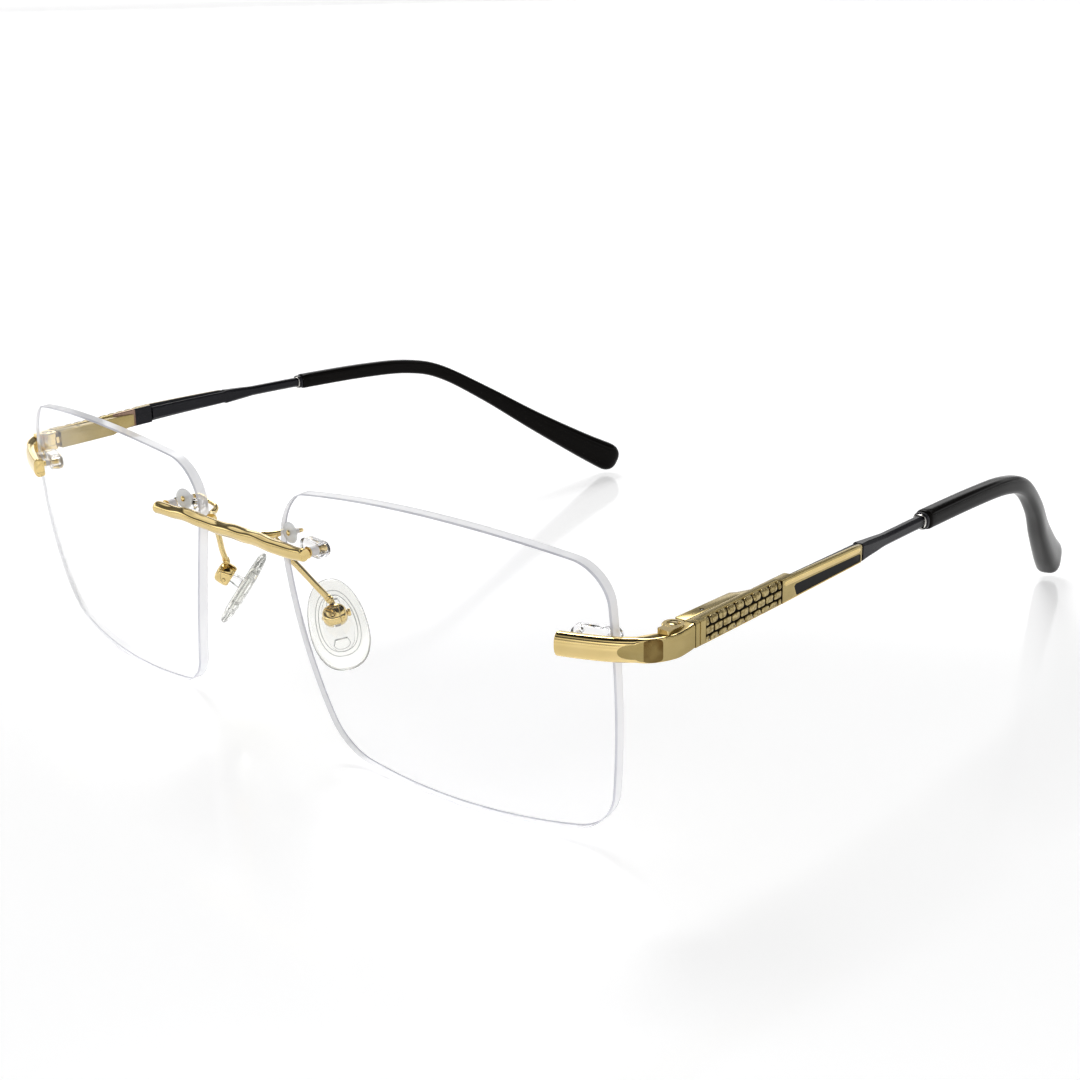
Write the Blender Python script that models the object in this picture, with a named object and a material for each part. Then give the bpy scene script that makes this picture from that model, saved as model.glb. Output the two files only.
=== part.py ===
"""Rimless eyeglasses: two clear lenses, a twig-shaped bridge bar, sprung temples and nose pads.

Frame: +Z up, the front looks along -Y, X = 0 is the plane of symmetry and z = 0 is the table that
the lens bottoms and the temple tips stand on. The wearer's left is +X. All sizes are in millimetres,
measured back from the fronts of the lenses. When a mesh is made they become metres, and the origin
moves to the middle of the open frame. Each left piece is modelled, and its right twin is a mirror of it.
"""

import math

import bmesh
import bpy
from mathutils import Matrix, Vector

MM = 0.001
ORIGIN = Vector((0.0, 69.2, 0.0))

# Lens: a blank cut from a thin sphere, tilted and wrapped round the face
LENS_RADIUS = 125.6
LENS_THICK = 1.7
LENS_TILT = math.radians(4.74)
LENS_WRAP = math.radians(5.85)
LENS_CENTRE_X = 38.46
LENS_CORNERS = ((-20.6, -19.1), (25.7, -18.6), (27.5, 17.3), (-29.3, 17.7))
LENS_BULGES = (1.87, 1.81, 3.19, 1.35)
LENS_CORNER_RADII = (6.0, 6.0, 4.2, 5.4)
LENS_BEVEL = 0.2

# Bridge: a bar in front of the lenses, held by posts and prongs through them
BAR_HALF = 17.9
BAR_Y = -2.2
BAR_Z = 31.7
BAR_R = 1.05
POST_X = 17.0
POST_R = 0.65
PRONG_UV = (-25.6, 13.0)
PRONG_R = 0.32
PLUG_THICK = 1.7
SEAT_GAP = 0.12

# End piece: a half-round bar that turns the corner to the hinge
END_Z_TIP = 28.9
END_Z_JOINT = 30.2
END_TALL = 3.15
END_DEEP = 1.75
END_PIN_U = (23.2, 27.3)
END_PIN_R = 0.45
END_PIN_FORWARD = (0.4, 0.2)

# Hinge and temple
HINGE_X = 71.2
HINGE_Y = 11.0
KNUCKLE_R = 1.45
EYE_TALL = 1.2
SCREW_R = 0.4
OUTER_X = 73.5
JOINT_Y = 12.45
JOINT_GAP = 0.2
TEMPLE_THICK = 1.7
GOLD_END_Y = 48.3
INLAY_Y = 32.2
TILE_Y = (14.3, 29.6)
CASING_Y = (12.7, 23.8)
CASING_INNER_X = 69.95
SLEEVE_START_Y = 66.0

# Nose pad: its long axis, the way it faces and the place of its middle
PAD_TOP = Vector((7.9, 9.4, 23.0))
PAD_BOTTOM = Vector((15.2, 6.5, 12.0))
PAD_FACING = Vector((-0.61, 0.56, -0.56))
PAD_LONG = 13.8
PAD_WIDE = 8.2
PAD_BOX_STATIONS = ((0, 1.35, 0.95), (0.3, 1.7, 1.25), (2.25, 1.75, 1.3), (2.5, 1.6, 1.15))
PAD_BOX_BACK = 3.9
PAD_BOX_REACH = 1.6

FIT_GAP = 0.04
Z_AXIS = Vector((0, 0, 1))

GOLD = ("gold", (0.83, 0.63, 0.27, 1), 0.18, 1.0)
BLACK_METAL = ("black_metal", (0.02, 0.02, 0.024, 1), 0.3, 0.0)
BLACK_ACETATE = ("black_acetate", (0.012, 0.012, 0.013, 1), 0.22, 0.0)
LENS_CLEAR = ("lens_clear", (0.93, 0.94, 0.97, 1), 0.02, 0.0)
PLASTIC_CLEAR = ("plastic_clear", (0.9, 0.9, 0.9, 1), 0.08, 0.0)
SILICONE = ("silicone", (0.92, 0.92, 0.9, 1), 0.2, 0.0)
STEEL = ("steel", (0.6, 0.6, 0.62, 1), 0.3, 1.0)


def clear_scene():
    for obj in list(bpy.data.objects):
        bpy.data.objects.remove(obj)


def material(finish):
    name, colour, roughness, metallic = finish
    found = bpy.data.materials.get(name)
    if found:
        return found
    made = bpy.data.materials.new(name)
    made.use_nodes = True
    shader = made.node_tree.nodes["Principled BSDF"]
    shader.inputs["Base Color"].default_value = colour
    shader.inputs["Roughness"].default_value = roughness
    shader.inputs["Metallic"].default_value = metallic
    return made


def mesh_object(name, points, faces, finish, flip=False):
    """One closed body from points in millimetres."""
    shape = bmesh.new()
    verts = [shape.verts.new((Vector(p) - ORIGIN) * MM) for p in points]
    for face in faces:
        shape.faces.new([verts[i] for i in face])
    bmesh.ops.recalc_face_normals(shape, faces=shape.faces)
    if flip:
        bmesh.ops.reverse_faces(shape, faces=shape.faces)
    mesh = bpy.data.meshes.new(name)
    shape.to_mesh(mesh)
    shape.free()
    mesh.shade_smooth()
    mesh.set_sharp_from_angle(angle=math.radians(35))
    obj = bpy.data.objects.new(name, mesh)
    obj.data.materials.append(material(finish))
    bpy.context.scene.collection.objects.link(obj)
    return obj


def loft(name, rings, finish):
    """A closed skin over rings of points that all have the same count."""
    count = len(rings[0])
    points = [p for ring in rings for p in ring]
    faces = []
    for row in range(len(rings) - 1):
        low = row * count
        for k in range(count):
            following = (k + 1) % count
            faces.append((low + k, low + following, low + count + following, low + count + k))
    faces.append(tuple(range(count - 1, -1, -1)))
    faces.append(tuple(range(len(points) - count, len(points))))
    return mesh_object(name, points, faces, finish)


def rounded_ring(centre, side, up, half_wide, half_tall, count=16, power=2.0):
    """A superellipse: power 2 is round, and 4 or more is a box with soft corners."""
    ring = []
    for k in range(count):
        turn = 2 * math.pi * (k + 0.5) / count
        c, s = math.cos(turn), math.sin(turn)
        a = math.copysign(abs(c) ** (2 / power), c) * half_wide
        b = math.copysign(abs(s) ** (2 / power), s) * half_tall
        ring.append(centre + side * a + up * b)
    return ring


def box_ring(centre, side, up, half_wide, half_tall, chamfer):
    """A rectangle with its four corners cut off."""
    w, t, c = half_wide, half_tall, chamfer
    corners = ((w, t - c), (w - c, t), (c - w, t), (-w, t - c),
               (-w, c - t), (c - w, -t), (w - c, -t), (w, c - t))
    return [centre + side * a + up * b for a, b in corners]


def frame_across(direction, hint=Z_AXIS):
    """Two unit vectors across a direction; the second is as near to the hint as it can be."""
    along = direction.normalized()
    side = along.cross(hint).normalized()
    return side, side.cross(along)


def cylinder(name, start, end, radius, finish, count=16, end_radius=None):
    upright = abs((end - start).normalized().z) >= 0.9
    side, up = frame_across(end - start, Vector((0, 1, 0)) if upright else Z_AXIS)
    top = radius if end_radius is None else end_radius
    rings = [rounded_ring(start, side, up, radius, radius, count),
             rounded_ring(end, side, up, top, top, count)]
    return loft(name, rings, finish)


def block(name, low, high, chamfer, finish, axis=2):
    """A box whose four edges along one axis are chamfered."""
    low, high = Vector(low), Vector(high)
    middle, half = (low + high) / 2, (high - low) / 2
    a, b = (axis + 1) % 3, (axis + 2) % 3
    side, up, along = Vector(), Vector(), Vector()
    side[a] = up[b] = along[axis] = 1
    rings = [box_ring(middle + along * half[axis] * s, side, up, half[a], half[b], chamfer)
             for s in (-1, 1)]
    return loft(name, rings, finish)


def smooth_path(points, per_span):
    """Points along a Catmull-Rom curve through the given ones."""
    pts = [Vector(p) for p in points]
    pts = [2 * pts[0] - pts[1]] + pts + [2 * pts[-1] - pts[-2]]
    path = []
    for i in range(1, len(pts) - 2):
        a, b, c, d = pts[i - 1:i + 3]
        for step in range(per_span):
            t = step / per_span
            path.append(0.5 * (2 * b + (c - a) * t + (2 * a - 5 * b + 4 * c - d) * t * t
                               + (3 * b - a - 3 * c + d) * t ** 3))
    path.append(pts[-2])
    return path


def sweep(name, path, section, finish, hint=Z_AXIS, level=False):
    """A skin along a path; section(share, centre, side, up) gives the ring at each point."""
    rings = []
    for i, centre in enumerate(path):
        ahead = path[min(i + 1, len(path) - 1)] - path[max(i - 1, 0)]
        if level:
            ahead.z = 0
        side, up = frame_across(ahead, hint)
        rings.append(section(i / (len(path) - 1), centre, side, up))
    return loft(name, rings, finish)


def boolean(obj, tool, operation="DIFFERENCE"):
    """Cuts or adds a tool, which stays as a hidden guide."""
    tool.hide_render = True
    tool.display_type = "WIRE"
    step = obj.modifiers.new(tool.name, "BOOLEAN")
    step.object = tool
    step.operation = operation
    step.solver = "EXACT"


def settle(obj):
    """Turns the modifiers' result into the object's own mesh and removes their tools."""
    tools = [step.object for step in obj.modifiers]
    seen = obj.evaluated_get(bpy.context.evaluated_depsgraph_get())
    mesh = bpy.data.meshes.new_from_object(seen)
    obj.modifiers.clear()
    obj.data = mesh
    for tool in tools:
        bpy.data.objects.remove(tool)
    tidy = bmesh.new()
    tidy.from_mesh(mesh)
    bmesh.ops.remove_doubles(tidy, verts=tidy.verts, dist=0.002 * MM)
    bmesh.ops.dissolve_degenerate(tidy, edges=tidy.edges, dist=0.002 * MM)
    bmesh.ops.triangulate(tidy, faces=tidy.faces)
    tidy.to_mesh(mesh)
    tidy.free()
    mesh.shade_smooth()
    mesh.set_sharp_from_angle(angle=math.radians(35))
    return obj


def mirror_right(left):
    """The right twin of a left piece."""
    mesh = left.data.copy()
    mesh.transform(Matrix.Scale(-1, 4, Vector((1, 0, 0))))
    mesh.flip_normals()
    twin = bpy.data.objects.new(left.name.replace("_left", "_right"), mesh)
    bpy.context.scene.collection.objects.link(twin)
    return twin


# Lens ---------------------------------------------------------------------------------------------

def lens_edge_point(edge, t):
    start, end = Vector(LENS_CORNERS[edge]), Vector(LENS_CORNERS[(edge + 1) % 4])
    run = end - start
    outward = Vector((run.y, -run.x)).normalized()
    bulge = LENS_BULGES[edge]
    point = start + run * t + outward * (4 * t * (1 - t) * bulge)
    tangent = run + outward * (4 * (1 - 2 * t) * bulge)
    return point, tangent


def lens_outline(per_edge=9, per_corner=5):
    """The rounded four-sided outline of a lens, counter-clockwise from the lower nasal corner."""
    cuts = []
    for corner in range(4):
        here = Vector(LENS_CORNERS[corner])
        before = Vector(LENS_CORNERS[corner - 1]) - here
        after = Vector(LENS_CORNERS[(corner + 1) % 4]) - here
        angle = before.angle(after)
        reach = LENS_CORNER_RADII[corner] / math.tan(angle / 2)
        cuts.append((1 - reach / before.length, reach / after.length, math.sin(angle / 2)))
    outline = []
    for corner in range(4):
        leave, enter, weight = cuts[corner]
        a, a_run = lens_edge_point((corner - 1) % 4, leave)
        b, b_run = lens_edge_point(corner, enter)
        gap = b - a
        reach = (gap.x * b_run.y - gap.y * b_run.x) / (a_run.x * b_run.y - a_run.y * b_run.x)
        tip = a + a_run * reach
        for step in range(per_corner + 1):
            t = step / per_corner
            shares = ((1 - t) ** 2, 2 * weight * t * (1 - t), t * t)
            outline.append((a * shares[0] + tip * shares[1] + b * shares[2]) / sum(shares))
        stop = cuts[(corner + 1) % 4][0]
        for step in range(1, per_edge):
            outline.append(lens_edge_point(corner, enter + (stop - enter) * step / per_edge)[0])
    return outline


def lens_place(u, v, depth, lift=0.0):
    """World place of a lens point: u outwards, v up, depth back from the front face."""
    sag = (u * u + v * v) / (2 * LENS_RADIUS) + depth
    x = u * math.cos(LENS_WRAP) - sag * math.sin(LENS_WRAP)
    y = u * math.sin(LENS_WRAP) + sag * math.cos(LENS_WRAP)
    back = y * math.cos(LENS_TILT) - v * math.sin(LENS_TILT)
    rise = y * math.sin(LENS_TILT) + v * math.cos(LENS_TILT)
    return Vector((LENS_CENTRE_X + x, back, rise + lift))


def lens_rise():
    """How far the lens centre stands above the table when the lens bottom touches it."""
    lowest = min(lens_place(p.x, p.y, depth).z for p in lens_outline()
                 for depth in (LENS_BEVEL, LENS_THICK - LENS_BEVEL))
    return -lowest


LENS_CENTRE_Z = lens_rise()


def on_lens(u, v, depth=0.0):
    return lens_place(u, v, depth, LENS_CENTRE_Z)


def lens_axes(u, v):
    """Unit vectors at a lens point: outwards along the face, up along it, and back through it."""
    step = 0.05
    out = (on_lens(u + step, v) - on_lens(u - step, v)).normalized()
    up = (on_lens(u, v + step) - on_lens(u, v - step)).normalized()
    return out, up, up.cross(out).normalized()


def lens_uv(x, z):
    """The u and v of the front-face point that has a given world x and z."""
    u, v = x - LENS_CENTRE_X, z - LENS_CENTRE_Z
    for _ in range(12):
        found = on_lens(u, v)
        u, v = u + x - found.x, v + z - found.z
    return u, v


def scaled_outline(outline, share, inset=0.0):
    ring = []
    for p in outline:
        reach = p.length
        ring.append(p * share * (reach - inset) / reach)
    return ring


def build_lens():
    outline = lens_outline()
    count = len(outline)
    skin = [(share, 0.0, LENS_BEVEL) for share in (0.4, 0.72, 1.0)]
    skin += [(1.0, LENS_BEVEL, 0.0), (1.0, LENS_THICK - LENS_BEVEL, 0.0)]
    skin += [(share, LENS_THICK, LENS_BEVEL) for share in (1.0, 0.72, 0.4)]
    rings = [[on_lens(p.x, p.y, depth) for p in scaled_outline(outline, share, inset)]
             for share, depth, inset in skin]
    points = [p for ring in rings for p in ring] + [on_lens(0, 0, 0), on_lens(0, 0, LENS_THICK)]
    front, back = len(points) - 2, len(points) - 1
    faces = []
    for row in range(len(rings) - 1):
        low = row * count
        for k in range(count):
            after = (k + 1) % count
            faces.append((low + k, low + after, low + count + after))
            faces.append((low + k, low + count + after, low + count + k))
    last = (len(rings) - 1) * count
    faces += [(front, (k + 1) % count, k) for k in range(count)]
    faces += [(back, last + k, last + (k + 1) % count) for k in range(count)]
    lens = mesh_object("lens_left", points, faces, LENS_CLEAR)
    for number, (spot, radius) in enumerate(lens_holes()):
        boolean(lens, through_lens("lens_hole_%d" % number, spot, radius + FIT_GAP))
    boolean(lens, edge_notch())
    return settle(lens)


def edge_notch():
    """The open slot in the lens edge that the end piece's outer pin sits in."""
    spot = lens_end_uv(END_PIN_U[1])
    out, up, back = lens_axes(*spot)
    half = END_PIN_R + FIT_GAP
    reach = 2.5
    rings = []
    for depth in (-3, 4):
        middle = on_lens(*spot) + out * reach + back * depth
        rings.append([middle + out * a + up * b for a, b in plug_outline(reach + half, half, 6)])
    return loft("edge_notch", rings, LENS_CLEAR)


def lens_holes():
    """Each drilled hole: its u and v, and the radius of what goes through it."""
    post = lens_uv(POST_X, BAR_Z)
    return [(post, POST_R), (PRONG_UV, PRONG_R), (lens_end_uv(END_PIN_U[0]), END_PIN_R)]


def lens_end_uv(u):
    """The end piece's pins stand in a row at the height of its bar."""
    return u, END_Z_TIP + 0.012 * (u - END_PIN_U[0]) - LENS_CENTRE_Z


def through_lens(name, spot, radius, front=-3.0, back=3.0, count=14, finish=LENS_CLEAR):
    """A round rod that passes squarely through the lens at a spot."""
    middle = on_lens(*spot)
    along = lens_axes(*spot)[2]
    return cylinder(name, middle + along * front, middle + along * back, radius, finish, count)


# Bridge -------------------------------------------------------------------------------------------

def bar_section(share, centre, side, up):
    """A hand-forged rod: round in the main, with slow waves in its width, height and place."""
    x = centre.x
    wave = 0.09 * math.sin(0.62 * x + 0.8) + 0.05 * math.sin(1.45 * x)
    swell = 1.0 + 0.09 * math.cos(x * math.pi / (2 * BAR_HALF)) + 0.05 * math.sin(0.9 * x + 0.5)
    drop = 0.11 * math.sin(0.5 * x - 0.6)
    radius = BAR_R * swell * (0.9 if share in (0, 1) else 1.0)
    return rounded_ring(centre + Vector((0, 0, drop)), side, up, radius - wave * 0.5, radius + wave, 12)


def build_bar():
    steps = [-BAR_HALF + 2 * BAR_HALF * k / 22 for k in range(23)]
    stops = [steps[0], steps[0] + 0.18] + steps[1:-1] + [steps[-1] - 0.18, steps[-1]]
    path = [Vector((x, BAR_Y, BAR_Z)) for x in stops]
    return sweep("bridge_bar", path, bar_section, GOLD)


def build_post():
    """A stout post from the back of the bar's end through the lens and into the clear plug."""
    spot = lens_uv(POST_X, BAR_Z)
    front = on_lens(*spot)
    along = lens_axes(*spot)[2]
    reach = LENS_THICK + FIT_GAP + PLUG_THICK * 0.75
    start = front - along * (front.y - BAR_Y - BAR_R * 1.08)
    return cylinder("bridge_post_left", start, front + along * reach, POST_R, GOLD, 14)


def plug_outline(half_long, half_tall, count=8):
    """A stadium: two half circles joined by straight sides."""
    outline = []
    for end in (1, -1):
        for k in range(count + 1):
            turn = -math.pi / 2 + math.pi * k / count
            outline.append((end * (half_long - half_tall + half_tall * math.cos(turn)),
                            end * half_tall * math.sin(turn)))
    return outline


def clear_plug(name, spot, half_long, half_tall, sockets):
    """A clear pad on the back of the lens with a blind socket for each post."""
    out, up, back = lens_axes(*spot)
    seat = on_lens(spot[0], spot[1], LENS_THICK) + back * (SEAT_GAP + half_long ** 2 / (2 * LENS_RADIUS))
    rings = []
    for depth, shrink in ((0, 0.12), (0.15, 0), (PLUG_THICK - 0.3, 0), (PLUG_THICK, 0.3)):
        outline = plug_outline(half_long - shrink, half_tall - shrink)
        rings.append([seat + out * a + up * b + back * depth for a, b in outline])
    plug = loft(name, rings, PLASTIC_CLEAR)
    for number, (socket, radius) in enumerate(sockets):
        deep = LENS_THICK + 2 * FIT_GAP + PLUG_THICK * 0.78
        boolean(plug, through_lens("%s_socket_%d" % (name, number), socket, radius + FIT_GAP, -1, deep))
    return settle(plug)


def build_bridge_plug():
    post = lens_uv(POST_X, BAR_Z)
    middle = (post[0] - 1.6, post[1])
    return clear_plug("bridge_plug_left", middle, 3.1, 1.3, [(post, POST_R)])


def build_foot():
    """A wire prong brazed behind the bar: it loops round the lens edge and comes forward through it."""
    back = lens_axes(*PRONG_UV)[2]
    tip = on_lens(*PRONG_UV) - back * 0.55
    heel = on_lens(*PRONG_UV) + back * (LENS_THICK + 0.8)
    start = Vector((6.2, BAR_Y + BAR_R * 1.2 + 0.45, BAR_Z))
    route = [start, Vector((7.4, 0.5, 31.9)), Vector((9.0, 2.3, 32.4)), heel + Vector((-0.6, 0.3, -0.2))]
    path = smooth_path(route, 4)
    shank = [heel + (tip - heel) * share for share in (0, 0.12, 1)]

    def section(share, centre, side, up):
        thick = PRONG_R + 0.32 * max(0.0, 1 - share * 1.9)
        return rounded_ring(centre, side, up, thick, thick, 8)

    return sweep("bridge_foot_left", path + shank, section, GOLD, Vector((-0.3, 0.1, 1)))


def ring_disc(name, spot, depth, inner, outer, thick, finish, count=18):
    """A washer that lies on the lens at a spot."""
    out, up, back = lens_axes(*spot)
    middle = on_lens(*spot) + back * depth
    points, faces = [], []
    for radius, level in ((inner, 0), (outer, 0), (outer, thick), (inner, thick)):
        for k in range(count):
            turn = 2 * math.pi * k / count
            points.append(middle + (out * math.cos(turn) + up * math.sin(turn)) * radius + back * level)
    for band in range(4):
        low, high = band * count, (band + 1) % 4 * count
        for k in range(count):
            after = (k + 1) % count
            faces.append((low + k, low + after, high + after, high + k))
    return mesh_object(name, points, faces, finish)


def build_washer():
    return ring_disc("bridge_washer_left", PRONG_UV, -0.38, PRONG_R + FIT_GAP, 1.5, 0.33, PLASTIC_CLEAR)


# Nose pad -----------------------------------------------------------------------------------------

PAD_MIDDLE = (PAD_TOP + PAD_BOTTOM) / 2
PAD_UP = (PAD_TOP - PAD_BOTTOM).normalized()
PAD_FACE = (PAD_FACING - PAD_UP * PAD_FACING.dot(PAD_UP)).normalized()
PAD_ACROSS = PAD_FACE.cross(PAD_UP).normalized()
PAD_PIVOT = PAD_MIDDLE - PAD_FACE * (PAD_BOX_BACK - 0.6) + PAD_UP * 0.5


def pad_point(across, up, out):
    return PAD_MIDDLE + PAD_ACROSS * across + PAD_UP * up + PAD_FACE * out


def pad_ring(half_wide, half_long, out, count=26):
    """A rounded D: straighter on the outer side and fuller below."""
    ring = []
    for k in range(count):
        turn = 2 * math.pi * k / count
        c, s = math.cos(turn), math.sin(turn)
        fuller = 1 + 0.1 * s * -1
        lean = -0.06 * half_wide * s
        a = math.copysign(abs(c) ** 0.86, c) * half_wide * fuller + lean
        b = math.copysign(abs(s) ** 0.92, s) * half_long
        ring.append(pad_point(a, b, out))
    return ring


def build_nose_pad():
    """A soft silicone pad, crowned on the nose side, with a pocket behind for its core."""
    long, wide = PAD_LONG / 2, PAD_WIDE / 2
    steps = ((0.72, -0.75), (0.9, -0.62), (1.0, -0.1), (0.93, 0.45), (0.7, 0.78), (0.35, 0.93))
    rings = [pad_ring(wide * s, long * s, out) for s, out in steps]
    pad = loft("nose_pad_left", rings, SILICONE)
    pocket = [pad_ring(wide * 0.5 + FIT_GAP, long * 0.6 + FIT_GAP, out) for out in (-2, 0.2)]
    boolean(pad, loft("pad_pocket", pocket, SILICONE))
    return settle(pad)


def build_pad_core():
    """The stiff insert inside the pad: an oval plate with a drilled lug that the box grips."""
    plate = loft("pad_core_left", [pad_ring(PAD_WIDE * 0.25, PAD_LONG * 0.3, out) for out in (-0.7, 0.1)],
                 PLASTIC_CLEAR)
    foot = PAD_MIDDLE - PAD_FACE * 0.4 + PAD_UP * 0.5
    neck = [box_ring(foot - PAD_FACE * reach, PAD_ACROSS, PAD_UP, 0.42, tall, 0.08)
            for reach, tall in ((0, 1.1), (2.0, 0.65), (PAD_BOX_BACK - 0.45, 0.55))]
    boolean(plate, loft("pad_neck", neck, PLASTIC_CLEAR), "UNION")
    hole = cylinder("pad_lug_hole", PAD_PIVOT - PAD_ACROSS * 2, PAD_PIVOT + PAD_ACROSS * 2, 0.3, STEEL, 12)
    boolean(plate, hole)
    return settle(plate)


def build_pad_box():
    """The gold box on the pad arm: two cheeks either side of the lug, joined at the back."""
    back = PAD_PIVOT - PAD_FACE * PAD_BOX_REACH
    rings = []
    for reach, half_wide, half_tall in PAD_BOX_STATIONS:
        centre = back + PAD_FACE * reach
        rings.append(rounded_ring(centre, PAD_ACROSS, PAD_UP, half_wide, half_tall, 20, 2.8))
    box = loft("pad_box_left", rings, GOLD)
    slot_rings = [box_ring(PAD_PIVOT + PAD_FACE * reach, PAD_ACROSS, PAD_UP, 0.5, 2.2, 0.05)
                  for reach in (-0.75, 3)]
    boolean(box, loft("pad_box_slot", slot_rings, GOLD))
    bore = cylinder("pad_box_bore", PAD_PIVOT - PAD_ACROSS * 3, PAD_PIVOT + PAD_ACROSS * 3, 0.3, GOLD, 12)
    boolean(box, bore)
    return settle(box)


def build_pad_screw():
    """The cross screw that the pad rocks on, with its head outside the box's cheek."""
    start = PAD_PIVOT - PAD_ACROSS * 1.85
    rings = []
    for reach, radius in ((0, 0.26), (3.65, 0.26), (3.65, 0.55), (3.95, 0.55), (4.1, 0.4)):
        rings.append(rounded_ring(start + PAD_ACROSS * reach, PAD_UP, PAD_FACE, radius, radius, 14))
    return loft("pad_screw_left", rings, GOLD)


def build_pad_arm():
    """The wire from behind the bridge prong down to the pad box."""
    end = PAD_PIVOT - PAD_FACE * 1.13 + PAD_UP * 1.36
    route = [Vector((7.3, 0.7, 31.2)), Vector((8.55, 1.9, 29.2)),
             Vector((9.8, 3.1, 27.2)), Vector((11.5, 4.7, 24.4)),
             end + PAD_UP * 0.4]

    def section(share, centre, side, up):
        thick = 0.45
        return rounded_ring(centre, side, up, thick, thick, 8)

    return sweep("pad_arm_left", smooth_path(route, 4) + [end], section, GOLD, Vector((0, 1, 0.2)))


# End piece ----------------------------------------------------------------------------------------

END_ROUTE = ((60.3, 2.3), (63.4, 3.35), (66.4, 4.5), (68.6, 5.55), (70.4, 6.75), (71.7, 8.1), (72.5, 9.5),
             (72.62, 11.0))


def end_height(share):
    return END_Z_TIP + (END_Z_JOINT - END_Z_TIP) * share ** 1.4


def build_endpiece():
    """A half-round gold bar along the lens that bends back to a flat-sided hinge block."""
    joint_end = (OUTER_X - END_DEEP / 2, JOINT_Y - JOINT_GAP, 0)
    path = smooth_path([(x, y, 0) for x, y in END_ROUTE] + [joint_end], 2)
    steps = len(path) - 1
    path = [Vector((p.x, p.y, end_height(i / steps))) for i, p in enumerate(path)]

    def section(share, centre, side, up):
        flat = min(1.0, max(0.0, (share - 0.42) / 0.14))
        power = 2.3 + 3.2 * flat
        tall = END_TALL / 2 * (0.93 if share == 0 else 1)
        ring = rounded_ring(centre, side, up, END_DEEP / 2, tall, 18, power)
        inner = [p for p in ring if (p - centre).dot(side) < 0]
        for p in inner:
            depth = (p - centre).dot(side)
            p -= side * (depth + END_DEEP / 2 * min(1.0, -depth / (END_DEEP / 2) * 1.5))
        return ring

    body = sweep("endpiece_left", path, section, GOLD, level=True)
    low, high = END_Z_JOINT - END_TALL / 2 + 0.02, END_Z_JOINT + END_TALL / 2 - 0.02
    knuckle = cylinder("knuckle", on_hinge(low), on_hinge(high), KNUCKLE_R, GOLD, 20)
    boolean(body, knuckle, "UNION")
    web = block("knuckle_web", (HINGE_X - 0.4, HINGE_Y - 2.6, low + 0.01),
                (OUTER_X - 0.9, HINGE_Y + 0.3, high - 0.01), 0.05, GOLD)
    boolean(body, web, "UNION")
    half = EYE_TALL / 2 + FIT_GAP
    eye_room = cylinder("eye_room", on_hinge(END_Z_JOINT - half), on_hinge(END_Z_JOINT + half),
                        KNUCKLE_R + EYE_CLEARANCE, GOLD, 20)
    boolean(body, eye_room)
    sweep_room = block("eye_sweep", (HINGE_X - 4, HINGE_Y - 1.3, END_Z_JOINT - half),
                       (HINGE_X, HINGE_Y + 4, END_Z_JOINT + half), 0.02, GOLD)
    boolean(body, sweep_room)
    bore = cylinder("screw_bore", on_hinge(low - 1), on_hinge(high + 1), SCREW_R + FIT_GAP, GOLD, 12)
    boolean(body, bore)
    sink = cylinder("screw_sink", on_hinge(high - SINK_DEEP), on_hinge(high + 1), SINK_R, GOLD, 16)
    boolean(body, sink)
    return settle(body)


def build_end_pin(number):
    """A pin brazed behind the end piece that passes through the lens into the clear plug."""
    spot = lens_end_uv(END_PIN_U[number])
    front = on_lens(*spot)
    along = lens_axes(*spot)[2]
    reach = LENS_THICK + FIT_GAP + PLUG_THICK * 0.7
    name = ("endpiece_inner_pin_left", "endpiece_outer_pin_left")[number]
    start = front - along * END_PIN_FORWARD[number]
    return cylinder(name, start, front + along * reach, END_PIN_R, GOLD, 14)


def build_end_plug():
    sockets = [(lens_end_uv(u), END_PIN_R) for u in END_PIN_U]
    middle = (sum(END_PIN_U) / 2 - 0.2, sockets[0][0][1] + 0.25)
    return clear_plug("endpiece_plug_left", middle, 3.3, 1.55, sockets)


# Hinge --------------------------------------------------------------------------------------------

SINK_R = 0.85
SINK_DEEP = 0.4
EYE_CLEARANCE = 0.06
SCREW_HEAD_R = 0.76
SLOT_WIDE = 0.18
BUSH_R = 0.66
SLIDER_HALF = 0.42
NUT_R = 0.5
NUT_END_Y = 21.0
CASING_DOT_Y = 16.6


def on_hinge(z):
    """A point of the hinge axis at a given height."""
    return Vector((HINGE_X, HINGE_Y, z))


def build_hinge_screw():
    low = END_Z_JOINT - END_TALL / 2
    high = END_Z_JOINT + END_TALL / 2
    under_head = high - 0.36
    stations = ((low, 0.32), (low + 0.15, SCREW_R), (under_head, SCREW_R), (under_head, SCREW_HEAD_R),
                (high - 0.08, SCREW_HEAD_R), (high, 0.62))
    rings = [rounded_ring(on_hinge(z), Vector((1, 0, 0)), Vector((0, 1, 0)), radius, radius, 12)
             for z, radius in stations]
    screw = loft("hinge_screw_left", rings, GOLD)
    slot = block("screw_slot", (HINGE_X - 1, HINGE_Y - SLOT_WIDE / 2, high - 0.18),
                 (HINGE_X + 1, HINGE_Y + SLOT_WIDE / 2, high + 1), 0.01, GOLD)
    boolean(screw, slot)
    return settle(screw)


def build_bush():
    """A thin sleeve on the screw that the hinge eye turns on."""
    half = EYE_TALL / 2
    return tube_z("hinge_bush_left", SCREW_R + FIT_GAP, BUSH_R, END_Z_JOINT - half, END_Z_JOINT + half, STEEL)


def tube_z(name, inner, outer, low, high, finish, count=16):
    points, faces = [], []
    for radius, z in ((inner, low), (outer, low), (outer, high), (inner, high)):
        for k in range(count):
            turn = 2 * math.pi * k / count
            points.append(Vector((HINGE_X + radius * math.cos(turn), HINGE_Y + radius * math.sin(turn), z)))
    for band in range(4):
        start, end = band * count, (band + 1) % 4 * count
        for k in range(count):
            after = (k + 1) % count
            faces.append((start + k, start + after, end + after, end + k))
    return mesh_object(name, points, faces, finish)


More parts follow.
